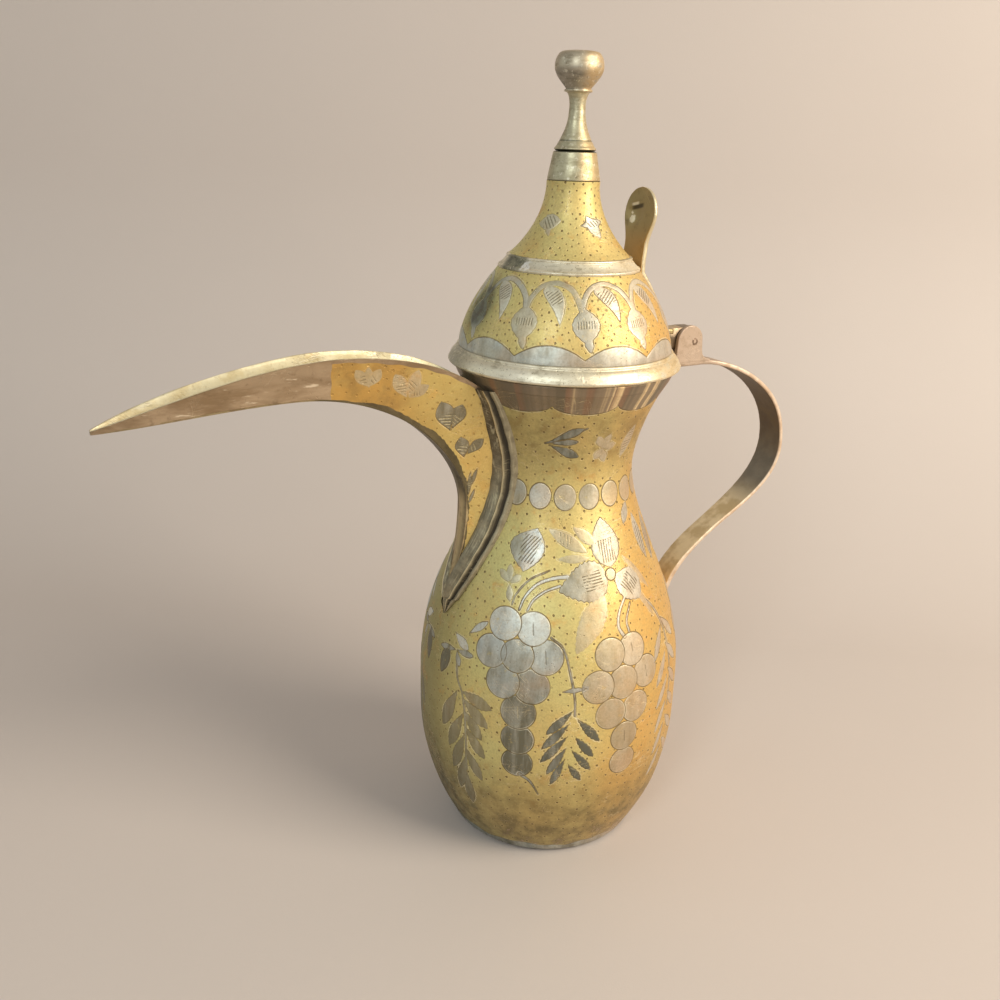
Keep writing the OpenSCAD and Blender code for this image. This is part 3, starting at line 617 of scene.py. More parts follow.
def cheek_coats(f, colour, mottled, bare_metal, marks, stain):
    """What only the spout's sheet shows: amber lacquer, a bare rosy beak, sooty joints and gilt inner faces.

    Gives the colour, where the sheet is bare, and where its ground is plain."""
    flank = f.read("outer")
    bared = f.read("bared").fade(-0.12, 0.12) * flank
    sooty = f.read("sooty").fade(-0.15, 0.15) * flank
    smeared = f.cloud(5, 4, 0.65, (0.22, 1, 0.8))
    rosy = f.over(f.blend(smeared.fade(0.32, 0.66), (180, 156, 126), (142, 118, 88)),
                  (f.cloud(3, 4, 0.65).fade(0.55, 0.72) * 0.4, (118, 96, 70)),
                  ((f.height() - 193.4 + (mottled - 0.5) * 3).fade(-1.0, 1.0) * 0.25, (120, 98, 70)),
                  (marks * 0.2, (214, 192, 160)),
                  (f.cloud(3.2, 4, 0.7, (0.2, 1, 1)).fade(0.60, 0.70) * 0.75, (232, 214, 186)),
                  (stain * 0.4, (92, 84, 66)))
    slant = scratches(f, 9, 48, 2.6, 4.0).most(f.cloud(1.6, 3, 0.6, (1, 0.3, 1)).fade(0.54, 0.70) * 0.6)
    gilt = f.over(f.blend(mottled.fade(0.4, 0.7), (222, 212, 178), (204, 188, 146)),
                  (slant * 0.5, (166, 142, 98)),
                  (marks * 0.6, (250, 240, 214)))
    amber = (f.cloud(12, 3).fade(0.3, 0.65) * (0.25 + f.read("amber") * 0.6) + f.read("amber")).held()
    colour = f.over(colour,
                    ((1 - bare_metal) * 0.4, (226, 184, 96)),
                    (amber * (1 - bare_metal) * 0.8, f.blend(mottled.fade(0.4, 0.7), (184, 138, 66), (148, 112, 56))),
                    (bared, rosy),
                    (sooty * 0.9, f.blend(mottled.fade(0.3, 0.7), (52, 46, 32), (96, 86, 62))),
                    (1 - flank, gilt))
    return colour, bared, (1 - bared) * (1 - sooty) * flank


def bare_finish(name, light, mid, dark, rough=0.36, metal=0.85, wear=0.5, grain=None, stain=0.35, extra=None):
    """Unlacquered metal: mottled, scratched and stained. extra adds what one piece alone shows."""
    f = Finish(name)
    broad, mottled, fine = f.cloud(22, 3, stretch=grain), f.cloud(5, 4, 0.6, grain), f.cloud(1.0, 3, 0.6)
    speck = f.cells(1.9).fade(0.15, 0.06) * f.cloud(9, 3).fade(0.5, 0.64)
    spots = f.cloud(3.6, 5, 0.7).fade(0.63, 0.74) * f.cloud(24, 2).fade(0.42, 0.6)
    marks = scratched(f, (2, 20), (4, 74), (7, 150, 0.7))
    colour = f.over(f.blend((broad * 1.6 - 0.8 + wear).held(), mid, light),
                    (mottled.fade(0.5, 0.74) * 0.7, dark),
                    (spots * stain * 1.6, (74, 70, 52)),
                    (fine.fade(0.6, 0.8) * 0.3, dark),
                    (speck * 0.7, (70, 60, 42)),
                    (marks * 0.4, light))
    if extra:
        colour = extra(f, colour, mottled)
    relief = 0.5 + (f.cloud(2.6, 3) - 0.5) * 0.3 + (broad - 0.5) * 0.5 - speck * 0.3 - marks * 0.1
    shade = rough + (mottled - 0.5) * 0.26 + spots * 0.2 - marks * 0.06
    return f.surface(colour, shade.held(), (metal - spots * 0.3).held(), relief, 0.35)


def band_tarnish(f, colour, mottled):
    """The lid's silvered rings: a painted warm light towards the handle, green on the spout's side, with a gleam and
    specks.
    """
    green = f.near((-22.5, -1.0, BAND_Z + 2.4), 8.5).most(f.near((-41, 8, SEAT_Z + 3), 15) * 0.6)
    gleam = f.near((-23.1, -8.5, BAND_Z + 2.4), 2.8, 0.5) * f.cloud(2.2, 2, 0.5, (1, 1, 0.3)).fade(0.42, 0.54)
    specks = f.cells(1.1).fade(0.26, 0.12) * f.cloud(5, 3).fade(0.42, 0.58)
    return f.over(colour,
                  # painted warm light towards the handle
                  (lit_side(f).fade(0.02, 0.36) * 0.5 * mottled.fade(0.3, 0.55), (232, 196, 130)),
                  (green * 0.85, f.blend(mottled.fade(0.4, 0.6), (58, 66, 50), (128, 130, 106))),
                  (gleam * 0.95, (252, 250, 240)),
                  (specks * 0.6, (132, 112, 70)),
                  (f.cloud(1.7, 4, 0.7).fade(0.56, 0.68) * 0.6, (248, 240, 214)),
                  (f.cloud(1.3, 3, 0.65, (1, 1, 2)).fade(0.60, 0.70) * 0.45, (124, 112, 78)))


def knob_lines(f, colour, mottled):
    """The finial and its ferrule: a greyer underside of the knob, a painted warm light on the lit side, and two turned
    grooves.
    """
    over_bead, over_foot = f.height() - BEAD_Z, f.height() - FINIAL_Z
    groove = abs(over_foot - 0.2).fade(0.55, 0.35).most(abs(over_foot - 3.55).fade(0.35, 0.12) * 0.6)
    low = (over_bead + (mottled - 0.5) * 4).fade(8.4, 5.6) * over_bead.fade(0.6, 1.6)
    patchy = mottled.fade(0.35, 0.66)
    return f.over(colour,
                  (over_bead.fade(1.0, -0.5) * 0.55, f.blend(patchy, (194, 190, 152), (160, 154, 118))),
                  (low * 0.8, f.blend(patchy, (156, 148, 134), (108, 103, 92))),
                  # painted warm light on the lit side
                  (lit_side(f).fade(0.0, 0.05) * 0.55 * mottled.fade(0.3, 0.5), (214, 180, 124)),
                  (f.cloud(1.4, 3, 0.65).fade(0.56, 0.70) * 0.55, (240, 232, 208)),
                  (f.cloud(1.1, 3, 0.65).fade(0.60, 0.72) * 0.5, (110, 96, 66)),
                  (groove * 0.9, (44, 48, 34)))


def strap_patina(f, colour, mottled):
    """The strap, dark inside its loop and bright on its edges, and a dark ring about the pin's end."""
    run = f.read("along")
    patchy = mottled.fade(0.35, 0.7)
    inner = f.blend(run.fade(92, 124), f.blend(patchy, (88, 74, 54), (108, 92, 68)),
                    f.blend(patchy, (122, 116, 102), (140, 134, 118)))
    foot = f.blend(f.cloud(9, 3, 0.6).fade(0.4, 0.62), (240, 222, 182), (208, 186, 140))
    side = f.read("rimward").fade(0.90, 0.97) * run.fade(40, 52)
    # a dark ring painted about the pin's end
    peened = f.near((PIN_X, -5.5, PIN_Z), 1.7, 0.35) * (1 - f.near((PIN_X - 0.2, -5.6, PIN_Z + 0.1), 0.8, 0.5))
    return f.over(colour,
                  (f.read("facing").fade(-0.35, -0.75) * run.fade(44, 60) * 0.9,
                   f.blend(run.fade(122, 142), inner, foot)),
                  (side * 0.7, f.blend(mottled.fade(0.4, 0.62), (248, 226, 200), (224, 196, 166))),
                  (peened * 0.8, (104, 80, 60)))


def ring_streaks(f, colour, mottled):
    """The mouth ring looks as the throat under it does."""
    return throat_metal(f, mottled)


def keel_highlights_and_bare_beak(f, colour, mottled):
    # Painted highlights along the middle of the keel's ridge and on its edges low down, and lighter bare metal from 96
    # mm out, under the bare beak.
    glow = (f.read("glow") * (mottled * 1.2 + 0.2)).held()
    return f.blend(glow, colour, f.blend(mottled.fade(0.4, 0.66), (220, 196, 148), (164, 140, 104)))


def leaf_patina(f, colour, mottled):
    """The lid leaf: dark knuckle, warm back, and on its thumb piece the dent's shading painted in: painted shade along
    its upper edge, painted highlights above and below it.
    """
    run, front = f.read("along"), f.read("facing").fade(0.4, 0.9)
    high, side = f.height() - BAND_Z, f.parts(f.where)[1] * 1000
    dent_rim = high - 21.3 + (side - 2.2) * 0.21
    # The dent's shading painted in: dark is painted shade along its upper edge, light a painted highlight above it, and
    # the spots below are painted highlights.
    dark = abs(dent_rim).fade(1.2, 0.35) * abs(side - 2.2).fade(4.4, 2.4) * front
    light = abs(dent_rim - 1.25).fade(0.75, 0.25) * abs(side - 3.8).fade(2.6, 1.1) * front
    knock_highlight = f.near((29.6, 4.6, BAND_Z + 16.9), 1.9, 0.4).most(f.near((29.8, 5.2, BAND_Z + 18.9), 1.1, 0.4)) * front
    return f.over(colour,
                  ((run - 26).fade(8, -6) * f.cloud(9, 2).fade(0.3, 0.5), (196, 172, 138)),
                  (run.fade(0.6, 0.1) * 0.85, f.blend(mottled.fade(0.4, 0.64), (124, 108, 88), (96, 82, 64))),
                  (run.fade(20, 34) * high.fade(17, 7) * 0.5, (204, 158, 92)),
                  # painted shade, then painted highlights, of the thumb dent
                  (dark * 0.8, (52, 44, 28)),
                  (light.most(knock_highlight) * 0.9, (252, 240, 208)),
                  (f.read("rimward").fade(0.93, 0.985) * run.fade(20, 34) * 0.8, (226, 214, 180)))


def frame_finish():
    """The spout's frame: dark inner band, a painted highlight along the ridge, grey-green outer band."""
    f = Finish("dark_frame_brass")
    ridge, valley, spread = f.read("ridge"), f.read("valley"), f.read("spread")
    mottled, fine = f.cloud(4.5, 4, 0.62), f.cloud(1.1, 3, 0.6)
    patchy = mottled.fade(0.35, 0.7)
    inner = f.over(f.blend(patchy, (126, 118, 96), (158, 148, 122)),
                   (f.height().fade(140, 176) * 0.85, f.blend(patchy, (74, 62, 44), (112, 98, 72))))
    outer = f.blend(patchy, (168, 158, 130), (138, 128, 104))
    lines = abs((spread * 6.2 + 0.25).part() - 0.5).fade(0.20, 0.06) * f.cloud(6, 3, 0.6, (1, 1, 0.4)).fade(0.42, 0.58)
    colour = f.over(f.blend(spread.fade(0.50, 0.62), inner, outer),
                    (lines * 0.5, (204, 192, 158)),
                    (f.cloud(1.6, 3, 0.65, (1, 1, 0.3)).fade(0.56, 0.70) * 0.55, (206, 194, 156)),
                    # painted highlight along the ridge
                    ((ridge * 1.5 - 0.25 + (mottled - 0.5) * 1.2).held() * 0.95, (232, 214, 170)),
                    ((valley * 1.3).held() * 0.95, (48, 42, 30)),
                    (fine.fade(0.58, 0.8) * 0.35, (78, 68, 46)),
                    (scratched(f, (2, 62), (6, 108)) * 0.4, (206, 190, 150)))
    relief = 0.5 + (f.cloud(2.4, 3) - 0.5) * 0.35 - fine.fade(0.6, 0.8) * 0.2
    return f.surface(colour, (0.44 + (mottled - 0.5) * 0.25).held(), 0.72 - valley * 0.3, relief, 0.3)


# ------------------------------------------------------------ body

BODY_ROUND, GRAPE_R = 620, 6.35
BEADS = [  # veil and tone of each disc in the row under the waist
    (0.25, 0.5), (0.1, 0.82), (0.35, 0.66), (0.25, 0.52), (0.5, 0.74), (0.4, 0.6), (0.3, 0.5), (0.3, 0.64), (0.3, 0.5)]


def flower_work(work):
    """The flower, its large hatched leaves, and the stems that run from it to both bunches of grapes."""
    leaf, stem = work.leaf, work.stem
    leaf((38.6, 123.6), (40.2, 136.0), 5.6, 0.55, 0.52, teeth=0.3)
    work.veil = 0.0
    leaf((41.4, 122.2), (46.2, 137.4), 5.9, 0.52, 0.92, pitch=1.1, lean=24, bend=0.8, keep=(0.2, 0.82), teeth=0.25)
    work.veil = 0.5
    leaf((54.0, 137.6), (79.0, 129.4), 2.6, 0.5, 0.62, pitch=1.3, lean=62, keep=(0.24, 0.56))
    leaf((69.5, 138.6), (84.5, 131.6), 2.2, 0.55, 0.62)
    work.veil = 0.18
    leaf((92.4, 123.6), (89.6, 141.0), 6.2, 0.40, 0.56, pitch=1.1, lean=6, keep=(0.10, 0.56), teeth=0.3)
    leaf((88.4, 121.2), (61.0, 116.8), 7.6, 0.34, 0.42, pitch=1.1, lean=6, keep=(0.12, 0.50), teeth=0.7)
    leaf((94.4, 120.6), (109.4, 110.4), 6.4, 0.46, 0.62, pitch=1.1, lean=12, bend=1.4, keep=(0.24, 0.70), teeth=0.3)
    work.veil = 0.55
    leaf((84.6, 114.6), (69.0, 95.4), 4.8, 0.42, 0.6, teeth=0.5)
    leaf((80.0, 127.6), (60.0, 127.4), 1.6, 0.5, 0.5)
    leaf((102.0, 127.0), (118.0, 112.0), 1.5, 0.5, 0.6)
    leaf((103.0, 118.0), (116.0, 102.0), 1.3, 0.5, 0.6)
    work.veil = 0.4
    work.ring((91.2, 121.2), 2.3, 2, tone=0.56, strokes=False)
    work.veil = 0.45
    for tip in ((28.0, 121.6), (33.5, 124.0), (40.8, 121.0), (37.2, 111.6)):
        leaf((35.4, 117.6), tip, 1.4, 0.6, 0.6)
    work.veil = 0.0
    stem([(42.6, 109.4), (44.6, 114.0), (50.0, 118.6), (58.0, 121.0), (66.0, 121.6)], 0.8, 0.97, taper=1.8)
    stem([(46.6, 109.4), (49.0, 113.2), (54.6, 116.6), (62.0, 118.6)], 0.7, 0.97, taper=1.4)
    stem([(38.6, 110.6), (40.0, 114.6), (46.0, 120.0), (56.0, 123.6)], 0.5, 0.8)
    work.veil = 0.1
    stem([(93.6, 99.0), (91.0, 103.0), (92.6, 108.0), (98.0, 113.0)], 1.4, 0.9, taper=0.7)
    stem([(96.6, 100.4), (96.0, 104.6), (100.0, 110.0)], 1.0, 0.75, taper=0.7)


def grape_work(work):
    """Both bunches of grapes, with a curl under the left one and a stem between them."""
    left = [(36.9, 103.9, 1.0, 0, 0.80, ()), (50.4, 103.6, 1.0, 1, 0.95, (0,)), (32.4, 93.2, 1.0, 1, 0.56, (0, 1)),
            (44.5, 93.4, 1.0, 2, 0.42, (0, 1)), (56.8, 94.0, 1.04, 0, 0.58, (0, 1, 3)),
            (39.3, 83.0, 1.05, 0, 0.40, (2, 3, 4)), (51.6, 82.8, 1.08, 1, 0.36, (2, 3, 4, 5)),
            (46.8, 72.0, 1.08, 2, 0.18, (5, 6)), (47.0, 60.8, 1.02, 0, 0.10, (7,)), (47.2, 50.4, 0.96, 1, 0.04, (8,))]
    right = [(85.4, 93.9, 1.0, 0, 0.40, ()), (97.0, 94.0, 1.0, 1, 0.74, (0,)), (79.4, 82.4, 1.02, 1, 0.42, (0, 1)),
             (91.2, 82.6, 1.04, 2, 0.36, (0, 1, 2)), (103.8, 84.0, 1.0, 0, 0.62, (0, 1, 3)),
             (85.4, 70.9, 1.0, 0, 0.36, (2, 3)), (97.6, 71.4, 1.0, 1, 0.48, (3, 4, 5)),
             (92.6, 60.0, 0.96, 2, 0.34, (5, 6)), (92.8, 49.0, 0.92, 0, 0.36, (7,))]
    work.veil = 0.05
    work.cluster(left, GRAPE_R)
    work.veil = 0.34
    work.cluster(right, GRAPE_R)
    work.veil = 0.0
    work.stem([(48.5, 45.4), (53.0, 42.4), (56.6, 36.6)], 1.5, 0.3, taper=0.3)
    work.stem([(58.6, 101.0), (64.4, 97.0), (67.4, 88.0), (69.4, 79.0), (69.8, 72.0)], 0.8, 0.28)
    work.leaf((64.2, 81.6), (74.6, 82.6), 0.9, 0.5, 0.35)


def palm(work, leaves, tone):
    for base, tip, half in leaves:
        work.leaf(base, tip, half, 0.6, tone, teeth=0.3)


def palm_work(work):
    """The dark palm between the grapes, and the larger one beside the spout."""
    palm(work, [((69.2, 74.2), (58.4, 64.0), 1.7), ((68.0, 69.0), (57.0, 57.6), 1.7),
                ((67.4, 63.6), (56.8, 51.8), 1.7), ((67.2, 58.8), (59.6, 46.4), 1.6),
                ((66.8, 53.6), (61.4, 41.6), 1.5), ((70.6, 70.8), (81.0, 60.0), 1.7),
                ((70.0, 63.4), (78.6, 53.6), 1.6), ((69.0, 57.6), (78.0, 47.6), 1.5),
                ((68.0, 51.4), (74.0, 43.2), 1.4)], 0.0)
    work.veil = 0.32
    work.stem([(15.8, 84.0), (17.2, 78.0), (20.6, 72.6), (22.6, 64.0), (23.4, 54.0), (23.6, 40.0)], 0.9, 0.2)
    palm(work, [((19.8, 73.8), (35.6, 70.4), 2.6), ((21.0, 71.2), (34.2, 62.0), 2.6),
                ((22.2, 66.2), (31.4, 56.0), 2.4), ((22.8, 59.6), (33.0, 48.2), 2.4),
                ((23.2, 50.6), (31.6, 37.4), 2.3), ((18.0, 73.4), (9.0, 54.4), 2.8),
                ((21.8, 65.0), (13.2, 46.8), 2.6), ((22.8, 56.0), (15.6, 37.6), 2.5),
                ((23.2, 46.0), (18.6, 28.6), 2.3), ((23.6, 39.0), (24.6, 23.0), 2.3)], 0.04)


def sprig_work(work):
    """The sprig over the palm beside the spout."""
    work.veil = 0.1
    work.leaf((11.4, 94.4), (21.4, 90.4), 1.9, 0.6, 0.95)
    work.leaf((9.6, 89.0), (6.4, 76.4), 2.8, 0.5, -0.12)
    work.leaf((19.6, 96.4), (28.4, 102.8), 1.4, 0.6, 0.85)
    for tip in ((3.0, 86.6), (17.6, 82.6), (24.6, 88.8)):
        work.leaf((14.6, 88.4), tip, 1.3, 0.6, 0.3)


def back_work(work):
    """The vine, leaves and grapes near the handle."""
    leaf, stem = work.leaf, work.stem
    work.veil = 0.12
    stem([(110.0, 110.0), (117.0, 104.0), (122.0, 94.0), (124.0, 80.0), (123.0, 62.0)], 1.0, 0.5)
    for k in range(6):
        a, z = 119.5 + 0.9 * k - 0.15 * k * k, 100 - 10.5 * k
        leaf((a + 1, z), (a + 12.5, z - 11), 1.9, 0.55, 0.95)
        leaf((a, z - 3), (a - 9.5 + 0.5 * k, z - 15), 1.7, 0.55, 0.8)
    leaf((122.0, 139.0), (126.0, 121.0), 2.6, 0.5, 0.8, pitch=1.3, lean=70)
    leaf((109.5, 136.5), (117.0, 144.0), 2.0, 0.5, 0.6)
    leaf((140.0, 137.0), (133.0, 119.0), 3.4, 0.5, 0.62, pitch=1.3, lean=60)
    for tip in ((147.0, 127.0), (155.6, 126.0), (151.0, 134.0), (144.5, 119.5), (157.0, 118.0)):
        leaf((150.6, 122.0), tip, 1.9, 0.6, 0.6)
    tail = [(150.0, 102.0, 1.0, 0, 0.5, ()), (162.4, 102.0, 0.98, 1, 0.6, (0,)), (156.2, 91.4, 1.02, 2, 0.5, (0, 1)),
            (144.6, 91.6, 0.98, 1, 0.5, (0, 2)), (150.2, 80.6, 1.0, 0, 0.42, (2, 3)),
            (162.0, 80.6, 0.96, 1, 0.42, (2, 4)), (156.0, 69.8, 0.98, 2, 0.34, (4, 5)),
            (155.6, 59.0, 0.92, 0, 0.25, (6,))]
    work.cluster(tail, 6.2)
    stem([(154.0, 107.0), (153.0, 112.0), (151.0, 117.0)], 1.2, 0.7)


def neck_work(work):
    """The row of discs under the waist, and the dark and light sprigs on the neck."""
    for k, (veil, tone) in enumerate(BEADS):
        work.veil = veil
        work.ring((27.5 + 18.2 * k, 148.9), 4.15, k % 2, tone=tone, tall=1.17, strokes=False)
    work.veil = 0.0
    work.stem([(48.2, 169.5), (57.0, 171.3), (66.0, 173.6), (74.5, 176.0)], 0.7, 0.2)
    work.leaf((48.2, 169.4), (73.0, 176.0), 1.7, 0.7, 0.08)
    work.leaf((48.2, 169.4), (70.5, 170.6), 1.2, 0.7, 0.2)
    work.leaf((48.2, 169.4), (71.5, 164.4), 1.8, 0.7, 0.10)
    work.veil = 0.45
    for tip in ((83.0, 172.6), (92.4, 173.0), (98.5, 168.6), (92.6, 161.8), (83.6, 163.4)):
        work.leaf((88.4, 167.4), tip, 1.6, 0.6, 0.66)
    work.leaf((108.0, 162.6), (114.0, 175.0), 2.7, 0.5, 0.8, pitch=1.1, lean=70)
    work.leaf((132.0, 163.0), (139.0, 175.0), 2.7, 0.5, 0.6, pitch=1.25, lean=70)
    work.leaf((152.0, 172.0), (166.0, 164.0), 2.2, 0.5, 0.6)


def belly_work():
    """The engraving round the body, the same on both sides of the spout. Places are (angle from the spout, height)."""
    heights, length = along(body_r, BASE_T, MOUTH_Z, 0.54)
    work = Engraving(body_r, heights, BODY_ROUND, length, mirrored=True)
    for engrave in (flower_work, grape_work, palm_work, sprig_work, back_work, neck_work):
        engrave(work)
    height = work.height

    swing = np.abs((work.angle - 52.7 + 18.4) % 36.8 - 18.4) / 18.4
    hem = 181.6 + 3.6 * (1 - np.sqrt(np.clip(1 - (1 - swing) ** 2, 0, 1)))
    band = length(hem) - work.run
    work.veil = 0.0
    work.lay(band, 0.16)
    theta = work.whole * DEG
    foot = work.run - length(5.0) - 0.6 * np.sin(theta * 9) - 0.4 * np.sin(theta * 23)
    work.lay(foot, 0.36)

    lift = 0.07 * ease(-work.leafage / 0.9 + 0.5) * (band > 0.4) * (foot > 0.4)
    dome = np.zeros_like(lift)
    for lane in range(3):
        edge = work.rings[..., lane]
        dome = np.maximum(dome, np.where(edge < 0, 0.06 + 0.16 * np.sqrt(np.clip(-edge / 5.5, 0, 1)), 0))
        lift -= 0.11 * hump(edge, 0, 0.4)
    lift -= 0.05 * hump(work.leafage, 0, 0.4)
    hand = (0.10 * np.sin(3 * theta + height * 0.045) + 0.07 * np.sin(7 * theta - height * 0.09 + 1.3)
            + 0.05 * np.sin(13 * theta + height * 0.17) + 0.04 * np.sin(height * 0.21 + 2 * theta))
    fixed = ease((MOUTH_Z - height) / 6) * ease((height - BASE_T) / 4)
    wobble = (np.maximum(lift, dome) + hand) * fixed - 0.34 * fixed
    extra = work.channels()
    extra["wear"] = (0.40 * ease(1 - (height - 4) / 26) + 0.30 * hump(work.angle, 122, 16) * ease((150 - height) / 30)
                     + 0.22 * hump(work.angle, 84, 14) * hump(height, 44, 26))
    extra["stain"] = 0.95 * hump(work.angle, -4, 34) * ease(1 - (height - 14) / 62)
    # Darker brown towards the bottom and round the neck, and painted shade towards the spout's side.
    extra["aged"] = (ease((60 - height) / 42) * 0.95 + 0.3 * ease((26 - work.angle) / 30)
                     + 0.72 * hump(height, 172, 16))
    return heights, wobble, extra


HOLE_R = 1.4
STRAINER = [(dy, mix(118, 178, i / 7) + abs(dy) / 2) for i in range(8) for dy in (-4.2, 0.0, 4.2)]


def middles(grid):
    """The middle of each face of a grid that is closed round."""
    return (grid + np.roll(grid, -1, 1) + np.roll(grid, -1, 0) + np.roll(np.roll(grid, -1, 0), -1, 1)) / 4


def pierce(points):
    """Grid faces inside the strainer holes, and the grid's points drawn on to their edges."""
    x, y, z = points[..., 0], points[..., 1], points[..., 2]
    inside = np.zeros(points.shape[:2], bool)
    for hole_y, hole_z in STRAINER:
        away = np.hypot(y - hole_y, z - hole_z)
        inside |= (x < 0) & (np.hypot(middles(y) - hole_y, middles(z) - hole_z) < HOLE_R)
        snap = (x < 0) & (away < HOLE_R + 0.55) & (away > HOLE_R - 0.45)
        y[snap] = (hole_y + (y - hole_y) * HOLE_R / away)[snap]
        z[snap] = (hole_z + (z - hole_z) * HOLE_R / away)[snap]
    return inside


def make_body():
    """The body's sheet: engraved outside, plain inside, with the strainer's holes."""
    heights, wobble, extra = belly_work()
    shape = Shape()
    outer = turned(body_r(heights), heights, BODY_ROUND, wobble)
    holes = pierce(outer)
    shape.grid(outer, chart=(0, 0, 1, 0.80), drop=holes, **extra)
    a = (np.concatenate([np.arange(-18, 18, 0.9), np.arange(18, 342, 4.5)]) % 360) * DEG  # finer about the strainer
    inner_z = np.concatenate([np.linspace(BASE_T, 112, 36), np.linspace(112.6, 184, 128), [186, MOUTH_Z]])
    inner_r = body_r(inner_z) - WALL
    inner = np.stack([-inner_r[:, None] * np.cos(a), -inner_r[:, None] * np.sin(a), inner_z[:, None] + 0 * a], -1)
    bored = pierce(inner)
    shape.grid(inner, chart=(0, 0.82, 0.8, 1), drop=bored, flip=True, inside=np.ones(inner.shape[:2]))
    turn = round_turn(20)
    for y, z in STRAINER:
        wall_y, wall_z = y + HOLE_R * np.cos(turn), z + HOLE_R * np.sin(turn)
        reach = np.sqrt(np.maximum(body_r(wall_z) ** 2 - wall_y**2, 1))
        tube = np.stack([np.stack([-(reach - depth), wall_y, wall_z], -1) for depth in (0.3, WALL + 0.05)])
        shape.grid(tube, chart=(0.82, 0.82, 0.98, 0.98), inside=np.ones(tube.shape[:2]))
    edge = turned([MOUTH_R - 0.02, MOUTH_R - WALL + 0.02], [MOUTH_Z, MOUTH_Z], 124)
    shape.grid(edge, chart=(0.8, 0.8, 1, 0.82), inside=np.ones(edge.shape[:2]))
    return punched(shape.make("pot_body", 60), 3.1, 11)


# ------------------------------------------------------------ lid

GARLANDS = [  # veil, how far the arch and its leaves are out of place in degrees, tone, how much wider than 36 degrees
    (0.35, 1.2, 0.0, 0.56, -2.2), (0.2, -1.0, 1.0, 0.52, -1.4), (0.3, -2.4, -1.0, 0.95, 1.2),
    (0.3, -1.2, 0.6, 0.6, 1.8), (0.25, 0.6, -0.5, 0.55, 0.4), (0.2, 1.0, 0.2, 0.7, -1.4),
    (0.3, -0.4, 0.9, 0.6, 1.2), (0.2, 0.8, -0.8, 0.66, -0.6),
    (0.3, 0.2, 0.4, 0.7, 0.4), (0.25, 0.6, -0.2, 0.74, 0.6)]
SPRAYS = [  # angle, veil, tone, half widths of the long and the short leaf
    (20, 0.42, 0.70, 3.0, 1.2), (92, 0.16, 0.66, 1.7, 2.5), (164, 0.2, 0.6, 2.0, 2.2), (236, 0.3, 0.6, 2.6, 1.6),
    (308, 0.2, 0.7, 2.0, 2.2)]


def dome_work(work, length):
    """Arches with hanging leaves round the dome, over a scalloped skirt. Gives the wear and the stains."""
    for k, (veil, shift, odd, tone, wider) in enumerate(GARLANDS):
        a, reach = 32 + 36 * k + shift, 36 + wider
        work.veil = veil
        work.stem([(a, 216.4), (a + 1.4, 220.4), (a + 7, 224.0), (a + 17, 225.3), (a + 27, 223.6),
                   (a + reach - 2.6, 220.4), (a + reach, 216.6)], 1.9, tone, taper=1.15)
        work.leaf((a + odd, 218.0), (a + 1.6 + odd, 206.8), 4.9, 0.50, tone, pitch=0.95, lean=4, keep=(0.36, 0.58),
                  teeth=0.25)
        work.leaf((a + 1.0 + odd, 209.6), (a + 3.2 + odd, 203.8), 1.5, 0.5, tone)
        work.leaf((a + 11, 224.2), (a + 21.6 + odd, 212.4 + odd), 2.9, 0.26, tone + 0.3, pitch=0.95, lean=70, bend=1.7,
                  keep=(0.12, 0.5))
    angle, height = work.angle, work.height
    swing = np.abs((angle + 4 + 18) % 36 - 18) / 18
    crest = 201.3 + 4.5 * (1 - np.abs(1 - swing) ** 2.1)
    work.veil = 0.1
    work.lay((work.run - length(crest)) * 0.86, 0.6)

    def blot(turn, wide, level, high):
        return hump((angle - turn + 180) % 360 - 180, 0, wide) * hump(height, level, high)
    return 0.12 + 0.2 * ease((height - 222) / 5), 2.2 * blot(-4, 11, 215.5, 7.5) + 0.5 * blot(214, 10, 214, 7)


def cone_work(work, length):
    """Leaves lying round the cone."""
    for a, veil, tone, long_half, short_half in SPRAYS:
        work.veil = veil
        work.leaf((a - 21, 243.2), (a + 21, 244.6), long_half, 0.55, tone, pitch=1.2, lean=60, keep=(0.3, 0.8))
        work.leaf((a - 8, 246.4), (a + 10, 239.2), short_half, 0.5, tone)
    return 0.15, 0


def make_lid_sheet(name, radius, low, high, count, engrave):
    """The dome or the cone: engraved outside, plain inside."""
    heights, length = along(radius, low, high, 0.42)
    work = Engraving(radius, heights, count, length)
    wear, stain = engrave(work, length)
    height, theta = work.height, work.angle * DEG
    lift = 0.06 * ease(-work.leafage / 0.8 + 0.5) - 0.05 * hump(work.leafage, 0, 0.4)
    hand = 0.07 * np.sin(3 * theta + height * 0.11) + 0.05 * np.sin(8 * theta - height * 0.2 + 0.7)
    rim = ease((height - low) / 2.5) * ease((high - height) / 2.5)
    shape = Shape().grid(turned(radius(heights), heights, count, (lift + hand - 0.14) * rim), chart=(0, 0, 1, 0.8),
                         wear=wear + 0 * height, stain=stain + 0 * height, aged=0 * height, **work.channels())
    z = np.linspace(high, low, 24)
    shape.grid(turned(radius(z) - 1.0, z, 120), chart=(0, 0.82, 1, 1), inside=np.ones((24, 120)))
    return punched(shape.make(name, 60), 2.3, 5 + count)


def smooth_run(points, step, closed):
    """A denser run through points, kept straight where they are far apart and rounded at each corner."""
    p = np.asarray(points, float)
    out = []
    for k in range(len(p) if closed else len(p) - 1):
        a, b = p[k], p[(k + 1) % len(p)]
        n = max(1, int(np.linalg.norm(b - a) / step))
        out += [a + (b - a) * i / n for i in range(n)]
    if not closed:
        out.append(p[-1])
    out = np.array(out)
    for _ in range(2):
        if closed:
            out = (np.roll(out, 1, 0) + 2 * out + np.roll(out, -1, 0)) / 4
        else:
            out[1:-1] = (out[:-2] + 2 * out[1:-1] + out[2:]) / 4
    return out


